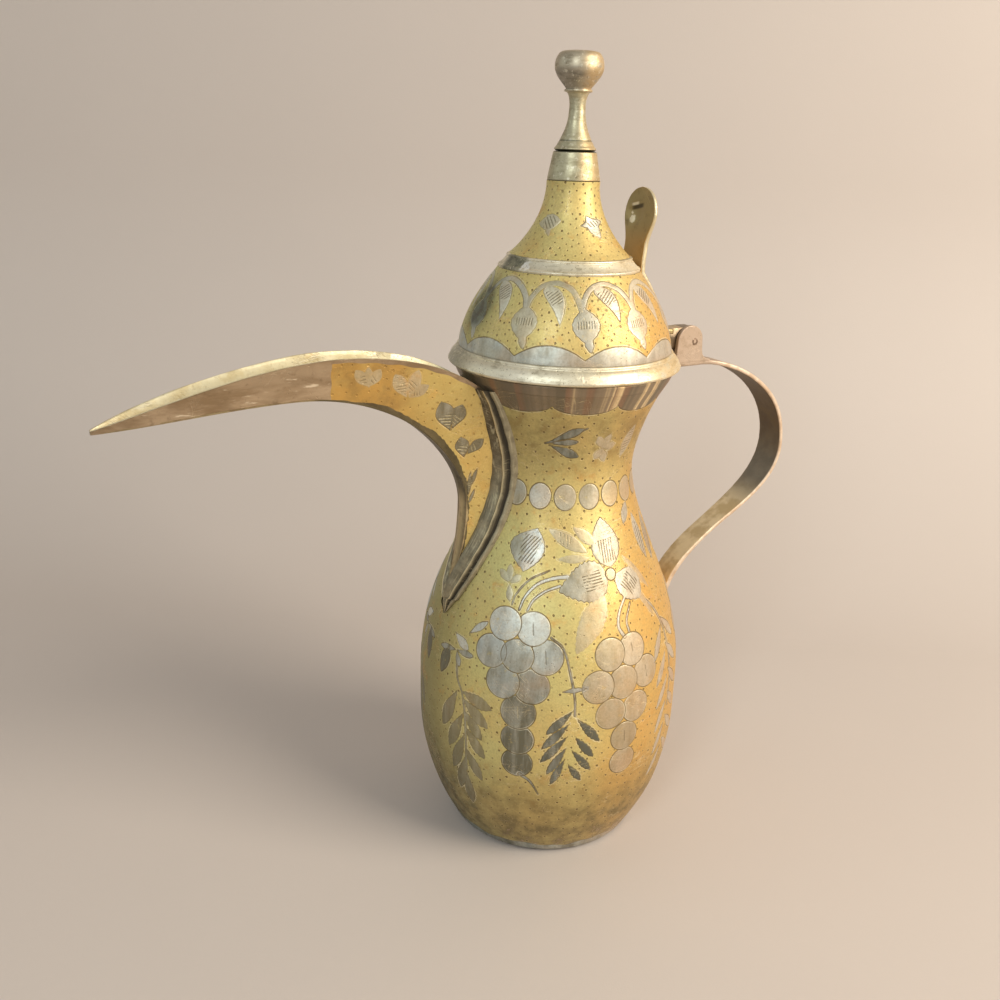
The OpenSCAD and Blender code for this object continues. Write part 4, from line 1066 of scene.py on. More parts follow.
def make_turned(name, outline, count, closed=True, step=0.3, wobble=0.05):
    """A turned piece from its whole outline, [radius, height], its corners slightly rounded."""
    run = smooth_run(outline, step, closed)
    a = round_turn(count)
    r, z = run[:, 0], run[:, 1]
    hand = wobble * (np.sin(2 * a[None] + z[:, None] * 0.3) + 0.6 * np.sin(5 * a[None] + 1.0 + z[:, None] * 0.2))
    hand = hand * (r[:, None] > 3)
    points = turned(np.maximum(r, 0.001), z, count, hand - wobble * 1.6 * (r[:, None] > 3))
    return Shape().grid(points, wrap_rows=closed).make(name, 50)


# ------------------------------------------------------------ spout

ROOT_Z, FULL_Z, FRAME_Z = 105.0, 142.0, 98.0
HALF_W, BEAK_W, TIP_W, SHARE = 8.2, 7.0, 0.9, 0.75
KNEE = (41.3, FULL_Z)
CREST = (104.0, MOUTH_Z - 0.5)
BRIM_START = (37.3, 186.5)
BRIM_TOP = (91.0, MOUTH_Z + 12.9)
TIP = (168.0, 182.4)
KEEL_LOW = [(float(body_r(ROOT_Z)) + 1.2, ROOT_Z), (44.3, ROOT_Z + 13), (KNEE[0], FULL_Z - 14), KNEE]
KEEL_MID = [KNEE, (KNEE[0], FULL_Z + 18), (66.0, CREST[1]), CREST]
KEEL_HIGH = [CREST, (118.0, CREST[1]), (145.0, TIP[1] + 3.2), TIP]
BRIM_LOW = [BRIM_START, (50.0, 197.0), (70.0, BRIM_TOP[1]), BRIM_TOP]
BRIM_HIGH = [BRIM_TOP, (112.0, BRIM_TOP[1]), (146.0, TIP[1] + 10.1), (TIP[0], TIP[1] + 1.2)]


def root_half(z):
    """Half the spout's width where it meets the body."""
    return HALF_W * (1 - (1 - np.clip((z - ROOT_Z + 2) / (FULL_Z - ROOT_Z + 2), 0, 1)) ** 2)


def brim_half(x):
    """Half the spout's width at its open top."""
    far = np.clip((x - 130) / 38, 0, 1)
    near = mix(HALF_W, BEAK_W, (x - BRIM_START[0]) / (130 - BRIM_START[0]))
    return np.where(x < 130, near, mix(TIP_W, BEAK_W, np.clip(1 - far**2, 0, 1) ** 0.7))


def keel_share(keel):
    """Half width at the keel over half width at the brim: a ridge low on the spout, a flat underside along the beak."""
    return mix(0.46, SHARE, ease((keel[:, 0] - 44) / 34) * ease((keel[:, 1] - 140) / 16))


def spout_lines(root=90, beak=230):
    """Keel points, brim points and half widths at the brim, from the root of the spout to its tip."""
    z = np.linspace(ROOT_Z, BRIM_START[1], root)
    u = (z - ROOT_Z) / (BRIM_START[1] - ROOT_Z)
    knee = (FULL_Z - ROOT_Z) / (BRIM_START[1] - ROOT_Z)
    low = bezier(KEEL_LOW, np.clip(u / knee, 0, 1))
    turn = bezier(KEEL_MID, np.clip(0.2 * (u - knee) / (1 - knee), 0, 1))
    keel_a = np.where((u < knee)[:, None], low, turn)
    w_a = root_half(z)
    brim_a = np.stack([np.sqrt((body_r(z) - WALL / 2) ** 2 - w_a**2), z], -1)
    t = np.linspace(0, 1, beak // 2 + 1)[1:]
    keel_b, brim_b = bezier(KEEL_MID, mix(0.2, 1, t)), bezier(BRIM_LOW, t)
    keel_c, brim_c = bezier(KEEL_HIGH, t), bezier(BRIM_HIGH, t)
    keel, brim = np.concatenate([keel_a, keel_b, keel_c]), np.concatenate([brim_a, brim_b, brim_c])
    return keel, brim, np.concatenate([w_a, brim_half(brim_b[:, 0]), brim_half(brim_c[:, 0])])


def flat_leaf(x, z, base, tip, half, fat):
    """How far places on the cheek lie outside a leaf, and where they lie along and beside its middle line."""
    size = math.hypot(tip[0] - base[0], tip[1] - base[1])
    dx, dz = (tip[0] - base[0]) / size, (tip[1] - base[1]) / size
    t = ((x - base[0]) * dx + (z - base[1]) * dz) / size
    n = -(x - base[0]) * dz + (z - base[1]) * dx
    return leaf_edge(t, n, size, half, fat), t * size, n


CHEEK_LEAVES = [  # base, tip, half width, fatness, tone, hatch pitch
    ((49.3, 172.2), (53.6, 183.6), 3.5, 0.62, 0.10, 1.1), ((49.0, 172.4), (45.4, 182.0), 2.9, 0.66, 0.10, 1.1),
    ((43.4, 161.6), (45.2, 169.6), 2.7, 0.6, 0.0, 1.2), ((43.0, 162.4), (36.6, 168.6), 2.0, 0.62, 0.02, 1.2),
    ((66.6, 186.2), (71.4, 195.0), 2.6, 0.6, 0.5, 1.0), ((66.4, 186.4), (62.6, 196.0), 2.4, 0.6, 0.6, 1.1),
    ((66.4, 186.0), (58.6, 190.2), 2.0, 0.6, 0.3, 1.0), ((80.6, 191.2), (85.4, 197.4), 2.0, 0.6, 0.55, 1.2),
    ((80.4, 191.2), (76.4, 197.2), 2.0, 0.6, 0.5, 1.2), ((80.4, 190.6), (80.8, 198.2), 1.6, 0.6, 0.6, 0.0),
    ((41.2, 146.0), (40.6, 156.0), 0.8, 0.5, 0.02, 0.0), ((40.4, 150.0), (38.2, 157.0), 0.8, 0.5, 0.02, 0.0),
    ((41.0, 143.0), (38.8, 149.0), 0.6, 0.5, 0.15, 0.0)]


def make_cheek(name, side):
    """One side wall of the spout: its engraved outer face, its lip and its inner face."""
    keel, brim, w = spout_lines()
    across = np.concatenate([np.linspace(0, 1, 34), [1.0, 1.0], np.linspace(1, 0, 10)])
    thick = np.concatenate([np.zeros(34), [0.35, 0.72], np.ones(10)])
    lip = np.concatenate([np.zeros(33), [0.10, 0.24, 0.24, 0.06], np.zeros(9)])
    low_w = w * keel_share(keel)
    out_w = mix(low_w[:, None], w[:, None], across[None])
    in_w = np.maximum(out_w - 1.0, 0.1)
    y = mix(out_w, in_w, thick[None])
    x = mix(keel[:, :1], brim[:, :1], across[None])
    z = mix(keel[:, 1:], brim[:, 1:], across[None])
    up = unit(brim - keel)
    reach = np.clip((TIP[0] - x) / 8, 0, 1)
    x = x + up[:, :1] * (lip - 0.30) * (across == 1) * reach
    z = z + up[:, 1:] * (lip - 0.30) * (across == 1) * reach
    hand = 0.10 * np.sin(x * 0.16 + z * 0.05) + 0.06 * np.sin(x * 0.41 - z * 0.23)
    hand = hand + 0.05 * np.sin(z * 0.5 + x * 0.1)
    y = y + (hand - 0.10) * reach * (thick < 0.9) * (across > 0.02)
    outer = (thick == 0)[None] & np.ones(x.shape, bool)
    leafage, hatched, hatch = np.full(x.shape, FAR), np.full(x.shape, FAR), np.zeros(x.shape)
    tone = np.full(x.shape, 0.45)
    for base, tip, half, fat, shade, pitch in CHEEK_LEAVES:
        edge, run, n = flat_leaf(x, z, base, tip, half, fat)
        tone = np.where(edge < np.minimum(leafage, 0.7), shade, tone)
        leafage = np.minimum(leafage, edge)
        if pitch:
            length = math.hypot(tip[0] - base[0], tip[1] - base[1])
            area = np.maximum(edge + 0.5, np.maximum(0.12 * length - run, run - 0.58 * length))
            hatch = np.where(area < hatched, (run * 0.92 + n * 0.4) / pitch, hatch)
            hatched = np.minimum(hatched, area)
    leafage, hatched = np.where(outer, leafage, FAR), np.where(outer, hatched, FAR)
    from_brim = np.hypot(x - brim[:, :1], z - brim[:, 1:])
    from_keel = np.hypot(x - keel[:, :1], z - keel[:, 1:])
    bared = np.maximum(x - 93.6 - 0.2 * np.sin(z), 1.75 + 0.2 * np.sin(x * 0.7) - from_brim)
    ragged = 0.7 + 1.2 * ease((z - 152) / 10) * ease((92 - x) / 20) + 1.6 * ease((178 - z) / 8) * ease((z - 146) / 8)
    ragged = ragged + 0.25 * np.sin(z * 0.9) * np.sin(z * 0.31 + 1) + 0.22 * np.sin(z * 2.3) * np.sin(z * 0.7)
    ragged = ragged + 0.15 * np.sin(z * 4.1 + 1)
    shape = Shape().grid(np.stack([-x, side * y, z], -1), flip=side > 0, leafage=leafage, hatched=hatched, hatch=hatch,
                         tone=tone, bared=bared, sooty=ragged * ease((100 - x) / 12) - from_keel,
                         outer=outer.astype(float), rings=np.full(x.shape + (3,), FAR),
                         wear=0.10 + 0.2 * ease((z - 192) / 8), stain=0 * x, film=mix(0.16, 0.70, ease((x - 54) / 8)),
                         amber=ease((x - 58) / 20) * ease((from_brim + 1) / 3) * 0.75)
    return punched(shape.make(name, 50), 3.0, 21 + side, (("bared", -0.5), ("sooty", -0.5)),
                   ("leafage", "rings", "outer"))


def make_keel():
    """The strip that closes the spout from below: a ridge low down, and nearly flat along the beak."""
    keel, brim, w = spout_lines()
    up, level, ahead = unit(brim - keel), keel[:, 1:], keel[:, :1]
    reach = np.clip((TIP[0] - 0.5 - ahead) / 12, 0, 1)
    half = (w * keel_share(keel))[:, None]
    beside = np.array([0.06, 0.14, 0.3, 0.55, 0.8, 0.97, 1.0])
    across = np.concatenate([-beside[::-1], [0.0], beside])[None]
    dished = 1 - across**2
    bump = mix(0.12 * dished, 0.75 * hump(across, 0, 0.42) + 0.25 * dished, ease((166 - level) / 22))
    drop = (np.where(np.abs(across) == 1, -0.45, 0.18) + bump * 0.9) * reach - 0.02
    inner_y = across[:, ::-1] * np.maximum(half - 0.9, 0.08)
    x = np.concatenate([ahead - up[:, :1] * drop, ahead + up[:, :1] + 0 * inner_y], 1)
    y = np.concatenate([across * (half + 0.10 * reach), inner_y], 1)
    z = np.concatenate([level - up[:, 1:] * drop, level + up[:, 1:] + 0 * inner_y], 1)
    # painted highlights on the ridge's middle and both edges low down; lighter bare metal from 96 mm out along the beak
    glow = ease(1.5 - np.abs(across) / 0.62) * ease((152 - level) / 10) + 0.6 * ease((ahead - 96) / 6)
    glow = glow + 1.1 * ease((np.abs(across) - 0.72) / 0.22) * ease((150 - level) / 12)
    glow = np.concatenate([glow, 0 * inner_y], 1)
    return Shape().grid(np.stack([-x, y, z], -1), flip=True, glow=glow).make("spout_keel_strip", 50)


FRAME_LINE = np.array([  # the moulding's section: how far from the joint, and how far off the body
    (-3.4, 0.2), (-3.42, 2.4), (-3.4, 4.6), (-3.2, 4.75), (-2.2, 4.7), (-1.0, 4.4), (0.0, 3.8), (0.9, 2.9), (1.5, 2.65),
    (1.9, 2.8), (2.15, 3.15), (2.45, 3.3), (2.75, 3.15), (3.0, 2.5), (3.2, 1.6), (3.45, 1.1), (3.7, 1.1), (4.1, 1.45),
    (4.5, 1.45), (5.0, 1.15), (5.35, 0.5), (5.5, -0.3)])


def make_frame(name, side):
    """One side of the moulding over the joint between spout and body."""
    z = np.concatenate([np.linspace(FRAME_Z + 0.2, 112, 46), np.linspace(112.5, 187.4, 120)])[:, None]
    s, h = FRAME_LINE[:, 0][None], FRAME_LINE[:, 1][None]
    grow = np.maximum(np.clip((z - FRAME_Z) / 7, 0, 1) ** 0.8, 0.05)
    y = np.maximum(np.where(z < ROOT_Z, 0.0, root_half(z)) + s * grow * mix(0.86, 1.0, ease((z - 150) / 30)), 0.0)
    dent = (0.10 * np.sin(z * 0.37) + 0.07 * np.sin(z * 0.91 + 2)) * (h > 0.6)
    height = (h * mix(0.5, 1, ease((z - FRAME_Z) / 16)) + dent) * ease((z - FRAME_Z + 2) / 8)
    height = height * mix(1, 0.72, ease((z - 168) / 16))
    reach = np.sqrt(np.maximum((body_r(z) + height) ** 2 - y**2, 1))
    return Shape().grid(np.stack([-reach, side * y, z + 0 * y], -1), wrap=False, flip=side > 0,
                        ridge=hump(s, 2.45, 0.42) + 0 * y, valley=hump(s, 3.35, 0.42) + 0 * y,
                        spread=s / 6 + 0 * y).make(name, 180)


# ------------------------------------------------------------ handle, hinge and lid leaf

def off(radius, z, d, reach):
    """A place d millimetres off an outline at height z, square to its slope within reach above and below."""
    lean = math.atan2(float(radius(z + reach) - radius(z - reach)), 2 * reach)
    return (float(radius(z)) + d * math.cos(lean), z - d * math.sin(lean))


def off_body(z, d):
    return off(body_r, z, d, 0.5)


def off_dome(z, d):
    return off(dome_r, z, d, 0.1)


def evenly(points, step):
    """A line drawn again with its points about step apart."""
    p = np.asarray(points, float)
    length = run_length(p)
    keep = np.concatenate([[True], np.diff(length) > 1e-6])
    p, length = p[keep], length[keep]
    spots = np.linspace(0, length[-1], max(4, int(length[-1] / step)) + 1)
    return np.stack([np.interp(spots, length, p[:, k]) for k in range(p.shape[1])], -1)


def strap_section(half, thick, lanes):
    """A rounded bar's outline: across and through, once round."""
    r = min(0.6, half * 0.8, thick / 2 - 0.01)
    corner = np.linspace(0, math.pi / 2, 5)
    upper = [(half - r + r * math.sin(c), thick / 2 - r + r * math.cos(c)) for c in corner]
    lower = [(half - r + r * math.cos(c), -thick / 2 + r - r * math.sin(c)) for c in corner]
    flat = [u * (half - r) for u in np.linspace(-1, 1, lanes)[1:-1]]
    return np.array([(u, thick / 2) for u in flat] + upper + lower + [(-u, -thick / 2) for u in flat]
                    + [(-u, v) for u, v in lower[::-1]] + [(-u, v) for u, v in upper[::-1]])


def sweep_strap(p, halves, thick, hand, dish=None, lanes=12, dent=None):
    """A flat bar along a side-view line (x, z), its left side outwards, with half its width and its thickness at each
    point. dish sinks its middle and dent its face, and hand is how uneven its edges are, all in millimetres."""
    d = unit(np.gradient(p, axis=0))
    length, rows, faces = run_length(p), [], []
    for k, run in enumerate(length):
        section = strap_section(halves[k], thick[k], lanes)
        y, t = section[:, 0], section[:, 1]
        nick = 0.5 * math.sin(run * 1.3) * math.sin(run * 0.37 + 0.5) + 0.4 * math.sin(run * 2.9 + 2)
        y = y + hand * (math.sin(run * 0.23 + 1) + nick * (1 + 0.5 * np.sign(y)) - 1.2) * np.sign(y)
        if dish is not None:
            t = t + dish[k] * (1 - (y / max(halves[k], 0.1)) ** 2)
        t = t + hand * 0.6 * math.sin(run * 0.17)
        if dent is not None:
            t = t + dent(y, length[-1] - run)
        rows.append(np.stack([p[k, 0] - d[k, 1] * t, y, p[k, 1] + d[k, 0] * t], -1))
        faces.append(np.stack([section[:, 1] / thick[k] * 2, np.abs(section[:, 0]) / max(halves[k], 0.1)], -1))
    rows, faces = np.array(rows), np.array(faces)
    centre = rows.mean(1, keepdims=True)
    ends = [np.repeat(centre[:1], rows.shape[1], 1), rows, np.repeat(centre[-1:], rows.shape[1], 1)]
    face = np.concatenate([faces[:1], faces, faces[-1:]])
    run = np.concatenate([[0], length, [length[-1]]])[:, None] + 0 * face[..., 0]
    return Shape().grid(np.concatenate(ends), facing=face[..., 0], rimward=face[..., 1], along=run)


STRAP_T, TOUCH = 2.4, 0.05
STRAP_OFF = STRAP_T / 2 + TOUCH
STRAP_Z = MOUTH_Z + 0.6


def strap_line():
    """The strap's middle line in side view, from the neck round the hand's room to the belly."""
    neck = [off_body(z, STRAP_OFF) for z in np.linspace(173.6, 182.4, 8)]
    bend = bezier([off_body(182.4, STRAP_OFF), (41.6, 187.4), (45.8, STRAP_Z), (49.8, STRAP_Z)],
                  np.linspace(0.2, 1, 16))
    top = bezier([(62, STRAP_Z), (86, STRAP_Z - 1.2), (109.9, 173), (109.9, 150)], np.linspace(0, 1, 40))
    low = bezier([(109.9, 150), (109.9, 137), (98.5, 128.1), (84.5, 119.3)], np.linspace(0, 1, 30))
    tail = bezier([(84.5, 119.3), (70.5, 110.5), off_body(98, 6), off_body(81, STRAP_OFF)], np.linspace(0, 1, 30))
    foot = [off_body(z, STRAP_OFF) for z in np.linspace(80, 64, 14)]
    return evenly(np.concatenate([neck, bend, top, low, tail, foot]), 0.9)


def make_strap():
    line = strap_line()
    half = 5.4 + 1.35 * ease((line[:, 0] - 64) / 38) * ease((line[:, 1] - 112) / 26)
    thick = mix(STRAP_T - 0.08, 1.75, ease((line[:, 0] - 58) / 12))
    return sweep_strap(line, half, thick, 0.07).make("strap_handle", 50)


def extruded(name, outline, width, centre_y):
    """A plate cut to a side-view outline (x, z)."""
    mesh = bpy.data.meshes.new(name)
    count = len(outline)
    points = [(x * MM, (centre_y + s * width / 2) * MM, z * MM) for s in (-1, 1) for x, z in outline]
    faces = [tuple(range(count)), tuple(range(2 * count - 1, count - 1, -1))]
    faces += [((k + 1) % count, k, count + k, count + (k + 1) % count) for k in range(count)]
    mesh.from_pydata(points, [], faces)
    mesh.update()
    return placed(name, mesh)


def joined(name, pieces):
    """Several objects' meshes as one."""
    gathered = bmesh.new()
    for piece in pieces:
        gathered.from_mesh(piece.data)
        bpy.data.objects.remove(piece)
    bmesh.ops.recalc_face_normals(gathered, faces=gathered.faces)
    mesh = bpy.data.meshes.new(name)
    gathered.to_mesh(mesh)
    gathered.free()
    return placed(name, mesh)


def eased(piece, width):
    """Rounds a piece's sharp edges off."""
    bevel = piece.modifiers.new("eased edges", "BEVEL")
    bevel.width, bevel.segments, bevel.limit_method, bevel.angle_limit = width * MM, 3, "ANGLE", 40 * DEG
    bevel.harden_normals = False
    shaded(piece.data, 50)
    return piece


def make_bracket():
    """The two round-topped ears on their floor plate, the far one slightly lower."""
    ear_x, ear_z, ear_r = PIN_X - 2.2, PIN_Z + 0.5, 6.05
    low = STRAP_Z + 0.3
    swing = np.linspace(176, 10, 28) * DEG

    def ear(drop):
        top = [(ear_x + ear_r * math.cos(a), ear_z - drop + ear_r * math.sin(a)) for a in swing]
        side = [(61.75, low + 4.6), (62.1, low + 3.1), (62.9, low + 1.9), (64.4, low + 1.15), (66.2, low + 0.8),
                (66.4, low)]
        return [(48.9, low), (49.0, low + 4)] + top + side
    ears = [extruded("ear", ear(drop), 1.76, side * 4.6) for side, drop in ((-1, 0.0), (1, 1.3))]
    floor = [(45.85, low), (45.85, low + 2.1), (62.25, low + 2.1), (62.25, low)]
    base = extruded("floor", floor, 10.9, 0)
    return eased(joined("hinge_ears", ears + [base]), 0.32)


LEAF_T, LEAF_HALF, THUMB_R, THUMB_Z = 2.0, 6.5, 9.5, BAND_Z + 28.4
KNUCKLE_HALF, KNUCKLE_R, BORE_R = 3.38, 5.57, 1.66


def leaf_half(z):
    """Half the lid leaf's width, which grows into the round thumb piece."""
    neck, middle = BAND_Z + 8, THUMB_Z - THUMB_R
    if z < neck:
        return LEAF_HALF
    if z < middle:
        return float(mix(LEAF_HALF, THUMB_R, ease((z - neck) / (middle - neck))))
    return math.sqrt(max(0.05, THUMB_R**2 - (z - middle) ** 2))


def thumb_dent(y, from_top):
    """A shallow bowl for the thumb, with a small bump beside it."""
    bowl = np.exp(-(((y - 3.0) / 4.2) ** 2 + ((from_top - 9.6) / 3.6) ** 2) ** 2)
    return 0.30 * hump(y, 4.6, 1.3) * hump(from_top, 11.6, 1.3) - 0.60 * bowl


def make_leaf():
    """The lid's strip: a knuckle round the pin, then up the dome's back to the thumb piece."""
    stand, step = LEAF_T / 2 + TOUCH, 0.5
    flat_z, turn_z, leave_z = PIN_Z + 5.6 - LEAF_T / 2, DOME_Z + 6.4, BAND_Z - 3
    turn = off_dome(turn_z, stand)
    corner = bezier([(PIN_X, flat_z), (turn[0] + 5, flat_z), (turn[0] + 0.8, flat_z), turn], np.linspace(0, 1, 24))
    back = [off_dome(z, stand) for z in np.linspace(turn_z + 0.8, leave_z - 0.6, 24)]
    thumb = bezier([off_dome(leave_z, stand), (28.4, BAND_Z + 3), (30.0, BAND_Z + 9), (31.0, THUMB_Z)],
                   np.linspace(0, 1, 30))
    line = evenly(np.concatenate([corner, back, thumb]), step)
    lift = ease((line[:, 1] - BAND_Z - 6) / 14)
    halves = [mix(leaf_half(z), 3.3, float(ease((x - 45.5) / 2.5))) if z < flat_z + 12 else leaf_half(z)
              for x, z in line]
    dish = -0.55 * lift * np.minimum(1.0, np.array(halves) / 6)
    for k in range(1, 12):
        halves[-k] = min(halves[-k], THUMB_R * math.sin(math.acos(max(0.0, 1 - (k - 0.6) * step / THUMB_R))))
    shape = sweep_strap(line, halves, 1.94 - 0.5 * lift, 0.03, dish, lanes=44, dent=thumb_dent)
    end = [-KNUCKLE_HALF] * 2
    barrel_y = np.concatenate([end, np.linspace(-3.2, 3.2, 12), np.negative(end)])
    barrel_r = np.concatenate([[BORE_R, 5.3], np.full(12, KNUCKLE_R), [5.3, BORE_R]])
    a = round_turn(64)
    swept = 7.6 * np.maximum(0, -np.cos(a)) ** 1.5 * (barrel_r[:, None] > 3)
    barrel = np.stack([PIN_X + barrel_r[:, None] * np.cos(a) - swept, barrel_y[:, None] + 0 * a,
                       PIN_Z + barrel_r[:, None] * np.sin(a) + 0.25 * swept], -1)
    nowhere = np.zeros(barrel.shape[:2])
    return shape.grid(barrel, facing=nowhere + 1, rimward=nowhere, along=nowhere).make("lid_leaf_plate", 45)


def make_pin():
    """The hinge pin, its ends hammered over flush with the ears."""
    y = np.array([-5.62, -5.6, -5.5, -5.3, -3.0, 3.0, 5.3, 5.5, 5.6, 5.62])
    r = np.array([0.01, 0.95, 1.35, 1.5, 1.5, 1.5, 1.5, 1.35, 0.95, 0.01])
    a = round_turn(40)
    uneven = 1 + 0.10 * np.sin(3 * a + 0.6) + 0.06 * np.sin(5 * a + 2)
    round_r = r[:, None] * np.where((np.abs(y) > 5.4)[:, None], uneven, 1.0)
    points = np.stack([PIN_X + round_r * np.cos(a), y[:, None] + 0 * a, PIN_Z + round_r * np.sin(a)], -1)
    return Shape().grid(points, facing=0 * round_r, rimward=0 * round_r, along=0 * round_r).make("hinge_pin_peened", 50)


# ------------------------------------------------------------ turned pieces of the lid

def rim_outline():
    lip = [(37.95, 0.0), (42.4, 0.0), (43.15, 0.2), (43.5, 0.75), (43.45, 1.35), (43.1, 1.62), (43.0, 1.8),
           (42.95, 2.2)]
    face = [(42.5, 3.1), (41.9, 3.95), (41.2, 4.65), (40.85, 4.9), (40.62, 4.95), (40.4, 5.15), (40.42, 5.45),
            (40.6, 5.6), (40.5, 5.95), (40.2, 6.3), (37.95, 6.3)]
    return [(r, SEAT_Z + z) for r, z in lip + face]


def band_outline():
    def bead(u, r=0.55):
        x, z = mix(DOME_TOP_R, CONE_R, u) + 0.25, mix(BAND_Z, CONE_Z, u)
        return [(x + r * math.cos(a), z + r * math.sin(a)) for a in np.linspace(-70, 110, 9) * DEG]
    hollow = [(25.15, BAND_Z + 1.35), (24.3, BAND_Z + 2.1), (23.3, BAND_Z + 3.25), (22.95, BAND_Z + 3.8)]
    return ([(23.8, BAND_Z + 0.05), (26.05, BAND_Z + 0.05)] + bead(0.13) + hollow + bead(0.88, 0.45)
            + [(22.05, CONE_Z - 0.05), (19.8, CONE_Z - 0.05)])


def ferrule_outline():
    low = [(8.2, 0.05), (9.42, 0.05), (9.44, 0.3), (9.36, 0.6), (9.22, 1.6)]
    high = [(7.95, -1.5), (7.82, -0.7), (7.66, -0.15), (7.4, 0), (1.95, 0), (1.95, -1.6), (7.4, -1.6)]
    return [(r, FERRULE_Z + z) for r, z in low] + [(r, FINIAL_Z + z) for r, z in high]


KNOB_R = 8.6


def finial_outline():
    u = np.linspace(0, 1, 40)
    stem = np.interp(u, (0, 0.07, 0.15, 0.25, 0.34, 0.43, 0.52, 0.62, 0.72, 0.80, 0.90, 0.96, 1.0),
                     (7.55, 6.98, 6.16, 5.14, 4.34, 3.70, 3.26, 2.98, 2.82, 2.78, 3.06, 3.5, 4.0))
    foot = FINIAL_Z + 0.05
    run = [(0, foot + 7), (1.95, foot + 7), (1.95, foot), (7.0, foot), (7.05, foot + 0.35), (7.6, foot + 0.55),
           (7.5, foot + 0.95)]
    lines = mix(foot, BEAD_Z, u)
    stem = stem - 0.16 * hump(lines, foot + 3.5, 0.3)
    run += [(float(r), float(z)) for r, z in zip(stem, lines) if z > foot + 1.0]
    run += [(4.6 + 0.35 * math.cos(a), BEAD_Z + 0.5 + 0.5 * math.sin(a)) for a in np.linspace(-60, 60, 7) * DEG]
    widest = 0.58  # how far up the knob
    knob = np.where(u < widest, mix(4.3, KNOB_R, np.sin(math.pi / 2 * np.clip(u / widest, 0, 1) ** 1.06)),
                    mix(KNOB_R * 0.64, KNOB_R, np.sqrt(1 - np.clip((u - widest) / 0.42, 0, 1) ** 2.15)))
    run += [(float(r) - 0.05, float(z)) for r, z in zip(knob, BEAD_Z + 1 + 12 * u)]
    return run + [(3.0, BEAD_Z + 13.1), (0, BEAD_Z + 13.1)]


# ------------------------------------------------------------ the pot put together

def dress(piece, body, slot, finish, *nodes):
    """Gives a piece its finish and body, and hides the nodes it stands for. slot is not used."""
    piece.data.materials.append(finish)
    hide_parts(*nodes)
    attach(piece, body)


def dress_node(node, finish):
    """Gives a finish to a node that is shown as it comes."""
    piece = NODES[node]
    if piece.material_slots:
        for slot in piece.material_slots:
            slot.material = finish
    else:
        piece.data.materials.append(finish)
    shaded(piece.data, 50)


lacquer_body = engraved_finish("engraved_lacquered_brass", 0.50, 0.39)
lacquer_lid = engraved_finish("engraved_lid_brass", 0.62, 0.35)
lacquer_spout = engraved_finish("engraved_spout_brass", 0.66, 0.35, spout=True)
silvered = bare_finish("worn_silvered_brass", (240, 232, 208), (208, 197, 166), (146, 134, 106), 0.44, 0.7, 0.6,
                       (1, 1, 2.2), extra=band_tarnish)
knob_metal = bare_finish("worn_knob_brass", (206, 194, 168), (176, 162, 138), (134, 120, 96), 0.46, 0.74, 0.5,
                         (1, 1, 3), extra=knob_lines)
strap_metal = bare_finish("bare_strap_brass", (196, 174, 152), (174, 151, 130), (144, 122, 96), 0.50, 0.64, 0.6,
                          extra=strap_patina)
# The keel's metal is painted dark as shade, with painted highlights laid over it.
keel_metal = bare_finish("keel_brass_with_painted_shade", (126, 114, 84), (92, 82, 60), (52, 48, 36), 0.48, 0.72, 0.3, stain=0.6,
                         extra=keel_highlights_and_bare_beak)
leaf_metal = bare_finish("olive_leaf_brass", (192, 172, 122), (158, 141, 97), (114, 102, 70), 0.42, 0.8, 0.45,
                         extra=leaf_patina)
dull_metal = bare_finish("dull_tinned_brass", (168, 160, 142), (138, 128, 108), (96, 86, 66), 0.5, 0.7, 0.5)
dark_metal = bare_finish("dark_tinned_brass", (150, 130, 100), (118, 100, 76), (88, 74, 54), 0.42, 0.7, 0.45,
                         (1, 1, 0.08), extra=ring_streaks)
frame_metal = frame_finish()

dress(make_body(), "pot", "lacquered_brass", lacquer_body, "body_shell")
dress(make_lid_sheet("lid_dome_sheet", dome_r, DOME_Z, BAND_Z, 560, dome_work), "lid", "lacquered_brass", lacquer_lid,
      "lid_dome")
dress(make_lid_sheet("lid_cone_sheet", cone_r, CONE_Z, FERRULE_Z, 320, cone_work), "lid", "lacquered_brass",
      lacquer_lid, "lid_cone")
for side, word in ((-1, "left"), (1, "right")):
    dress(make_cheek("spout_sheet_" + word, side), "pot", "lacquered_brass", lacquer_spout, "spout_cheek_" + word)
    dress(make_frame("spout_frame_rib_" + word, side), "pot", "dark_brass", frame_metal, "spout_frame_" + word)
dress(make_keel(), "pot", "dark_brass", keel_metal, "spout_keel")
dress(make_strap(), "pot", "bare_brass", strap_metal, "handle_strap")
dress(make_bracket(), "pot", "bare_brass", strap_metal, "hinge_bracket")
dress(make_leaf(), "lid", "olive_brass", leaf_metal, "lid_leaf")

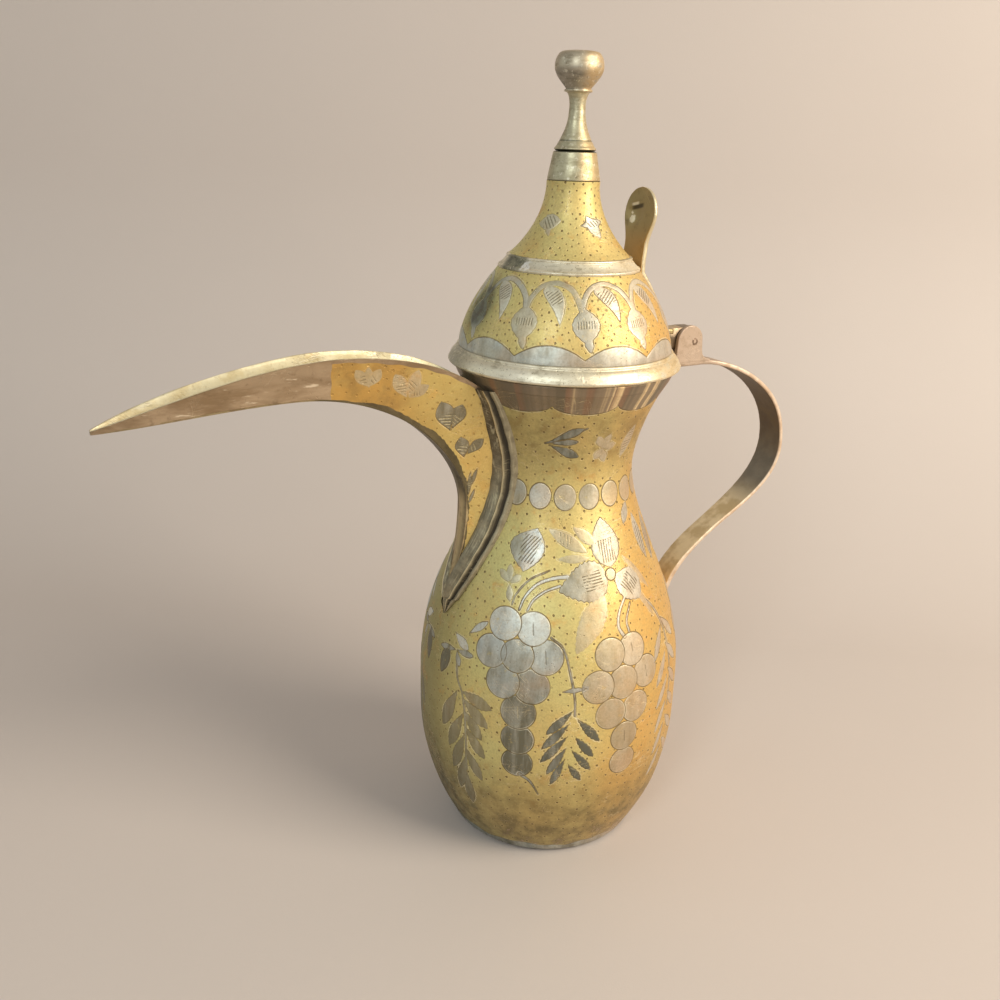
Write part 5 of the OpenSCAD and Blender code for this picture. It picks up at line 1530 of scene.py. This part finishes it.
COLLAR = [(36.9, SEAT_Z - 5.4), (37.9, SEAT_Z), (37.9, DOME_Z - 0.05), (36.9, DOME_Z - 0.05), (36.9, SEAT_Z),
          (35.9, SEAT_Z - 5.4)]
RING = [(38.4, MOUTH_Z + 0.05), (39.2, MOUTH_Z + 0.02), (39.64, MOUTH_Z - 0.3), (39.95, MOUTH_Z + 0.45),
        (40.7, MOUTH_Z + 2.1), (41.4, MOUTH_Z + 3.4), (41.5, RING_TOP - 0.2), (41.3, RING_TOP), (38.4, RING_TOP)]
PLATE = [(0, 0.35), (30, 0.35), (34.5, 0.05), (36.9, 0.02), (37.7, 0.5), (37.75, 1.55), (0, 1.58)]
for node, name, outline, count, settings, body, slot, finish in (
        ("lid_rim", "lid_rolled_rim", rim_outline(), 360, {}, "lid", "silvered_brass", silvered),
        ("lid_band", "lid_band_ring", band_outline(), 300, {"step": 0.25}, "lid", "silvered_brass", silvered),
        ("lid_ferrule", "lid_ferrule_ring", ferrule_outline(), 160, {"step": 0.25, "wobble": 0.03}, "lid",
         "silvered_brass", knob_metal),
        ("finial", "finial_turning", finial_outline(), 160, {"closed": False, "step": 0.25, "wobble": 0.04}, "lid",
         "silvered_brass", knob_metal),
        ("lid_collar", "lid_collar_ring", COLLAR, 200, {"wobble": 0.02}, "lid", "silvered_brass", dull_metal),
        ("mouth_ring", "mouth_ring_roll", RING, 240, {"wobble": 0.03}, "pot", "silvered_brass", dark_metal),
        ("base_plate", "base_disc", PLATE, 200, {"closed": False, "wobble": 0.0}, "pot", "bare_brass", dull_metal)):
    dress(make_turned(name, outline, count, **settings), body, slot, finish, node)
for node in ("handle_foot_rivets", "neck_rivets"):
    dress_node(node, strap_metal)
dress_node("leaf_rivets", leaf_metal)
dress(make_pin(), "pot", "silvered_brass", strap_metal, "hinge_pin")
for node in ("finial_rod", "finial_nut", "finial_washer"):
    dress_node(node, dull_metal)


# ------------------------------------------------------------ floor, light and camera

AHEAD = Vector((0.5373, 0.8434, 0))
ACROSS = Vector((0.8434, -0.5373, 0))


def make_floor():
    """A sheet of studio paper that curves up behind the pot, and is seen through from behind."""
    flat, bend = 0.16, 0.25
    run = [(-6.0, 0.0), (flat, 0.0)]
    run += [(flat + bend * math.sin(a), bend - bend * math.cos(a)) for a in np.linspace(0, 90, 24) * DEG]
    run = np.array(run + [(flat + bend, 2.4)])
    points = np.array([[tuple(AHEAD * u + ACROSS * v)[:2] + (h,) for v in np.linspace(-6, 6, 7)] for u, h in run])
    piece = Shape().grid(points * 1000, wrap=False).make("studio_floor", 180)
    f = Finish("studio_paper")
    tone = f.blend(f.cloud(140, 2) * 0.35, (200, 189, 180), (191, 180, 171))
    behind = f.node("ShaderNodeNewGeometry", out="Backfacing")
    rough = 0.62 + (f.cloud(3, 3) - 0.5) * 0.1
    piece.data.materials.append(f.surface(tone, rough, 0.0, f.cloud(0.8, 3), 0.05, clear=behind))


def lamp(name, place, size, power, colour):
    """A soft lamp that points at the middle of the pot."""
    light = bpy.data.lights.new(name, "AREA")
    light.shape, light.size, light.size_y = "RECTANGLE", size[0], size[1]
    light.energy, light.color = power, colour
    piece = placed(name, light)
    piece.location = place
    piece.rotation_euler = (Vector((0, 0, 0.13)) - place).to_track_quat("-Z", "Y").to_euler()


make_floor()
lamp("key_softbox", ACROSS * 0.88 - AHEAD * 0.36 + Vector((0, 0, 0.70)), (0.60, 0.80), 14.6, (1.0, 0.91, 0.78))
lamp("front_softbox", ACROSS * -0.30 - AHEAD * 0.95 + Vector((0, 0, 0.72)), (0.26, 0.6), 3.7, (0.86, 0.96, 1.0))
lamp("left_softbox", ACROSS * -0.95 - AHEAD * 0.1 + Vector((0, 0, 0.55)), (0.6, 0.7), 0.7, (0.86, 0.98, 1.0))

world = bpy.data.worlds.new("studio_air")
world.use_nodes = True
world.node_tree.nodes["Background"].inputs["Color"].default_value = (0.32, 0.32, 0.32, 1)
world.node_tree.nodes["Background"].inputs["Strength"].default_value = 1.0
bpy.context.scene.world = world


def place_camera():
    """The camera, set by its tilt, turn and roll, and by the azimuth it stands at."""
    pitch, yaw, roll, azimuth = 19.742 * DEG, -3.405 * DEG, 1.962 * DEG, 57.5 * DEG
    forward = Vector((math.sin(yaw) * math.cos(pitch), math.cos(yaw) * math.cos(pitch), -math.sin(pitch)))
    right = forward.cross(Vector((0, 0, 1))).normalized()
    up = right.cross(forward)
    right, up = right * math.cos(roll) + up * math.sin(roll), up * math.cos(roll) - right * math.sin(roll)

    def turned_to(v):
        s, c = math.sin(azimuth), math.cos(azimuth)
        return Vector((s * v.x + c * v.y, s * v.y - c * v.x, v.z))
    columns = [turned_to(v) for v in (right, up, -forward)]
    lens = bpy.data.cameras.new("camera")
    lens.sensor_width, lens.sensor_height, lens.sensor_fit, lens.lens = 36, 36, "AUTO", 36.0
    lens.clip_start = 0.01
    camera = placed("camera", lens)
    camera.matrix_world = Matrix.Translation((-0.2001, -0.3141, 0.2701)) @ Matrix(columns).transposed().to_4x4()
    bpy.context.scene.camera = camera


place_camera()
bpy.context.scene.view_settings.view_transform = "Standard"
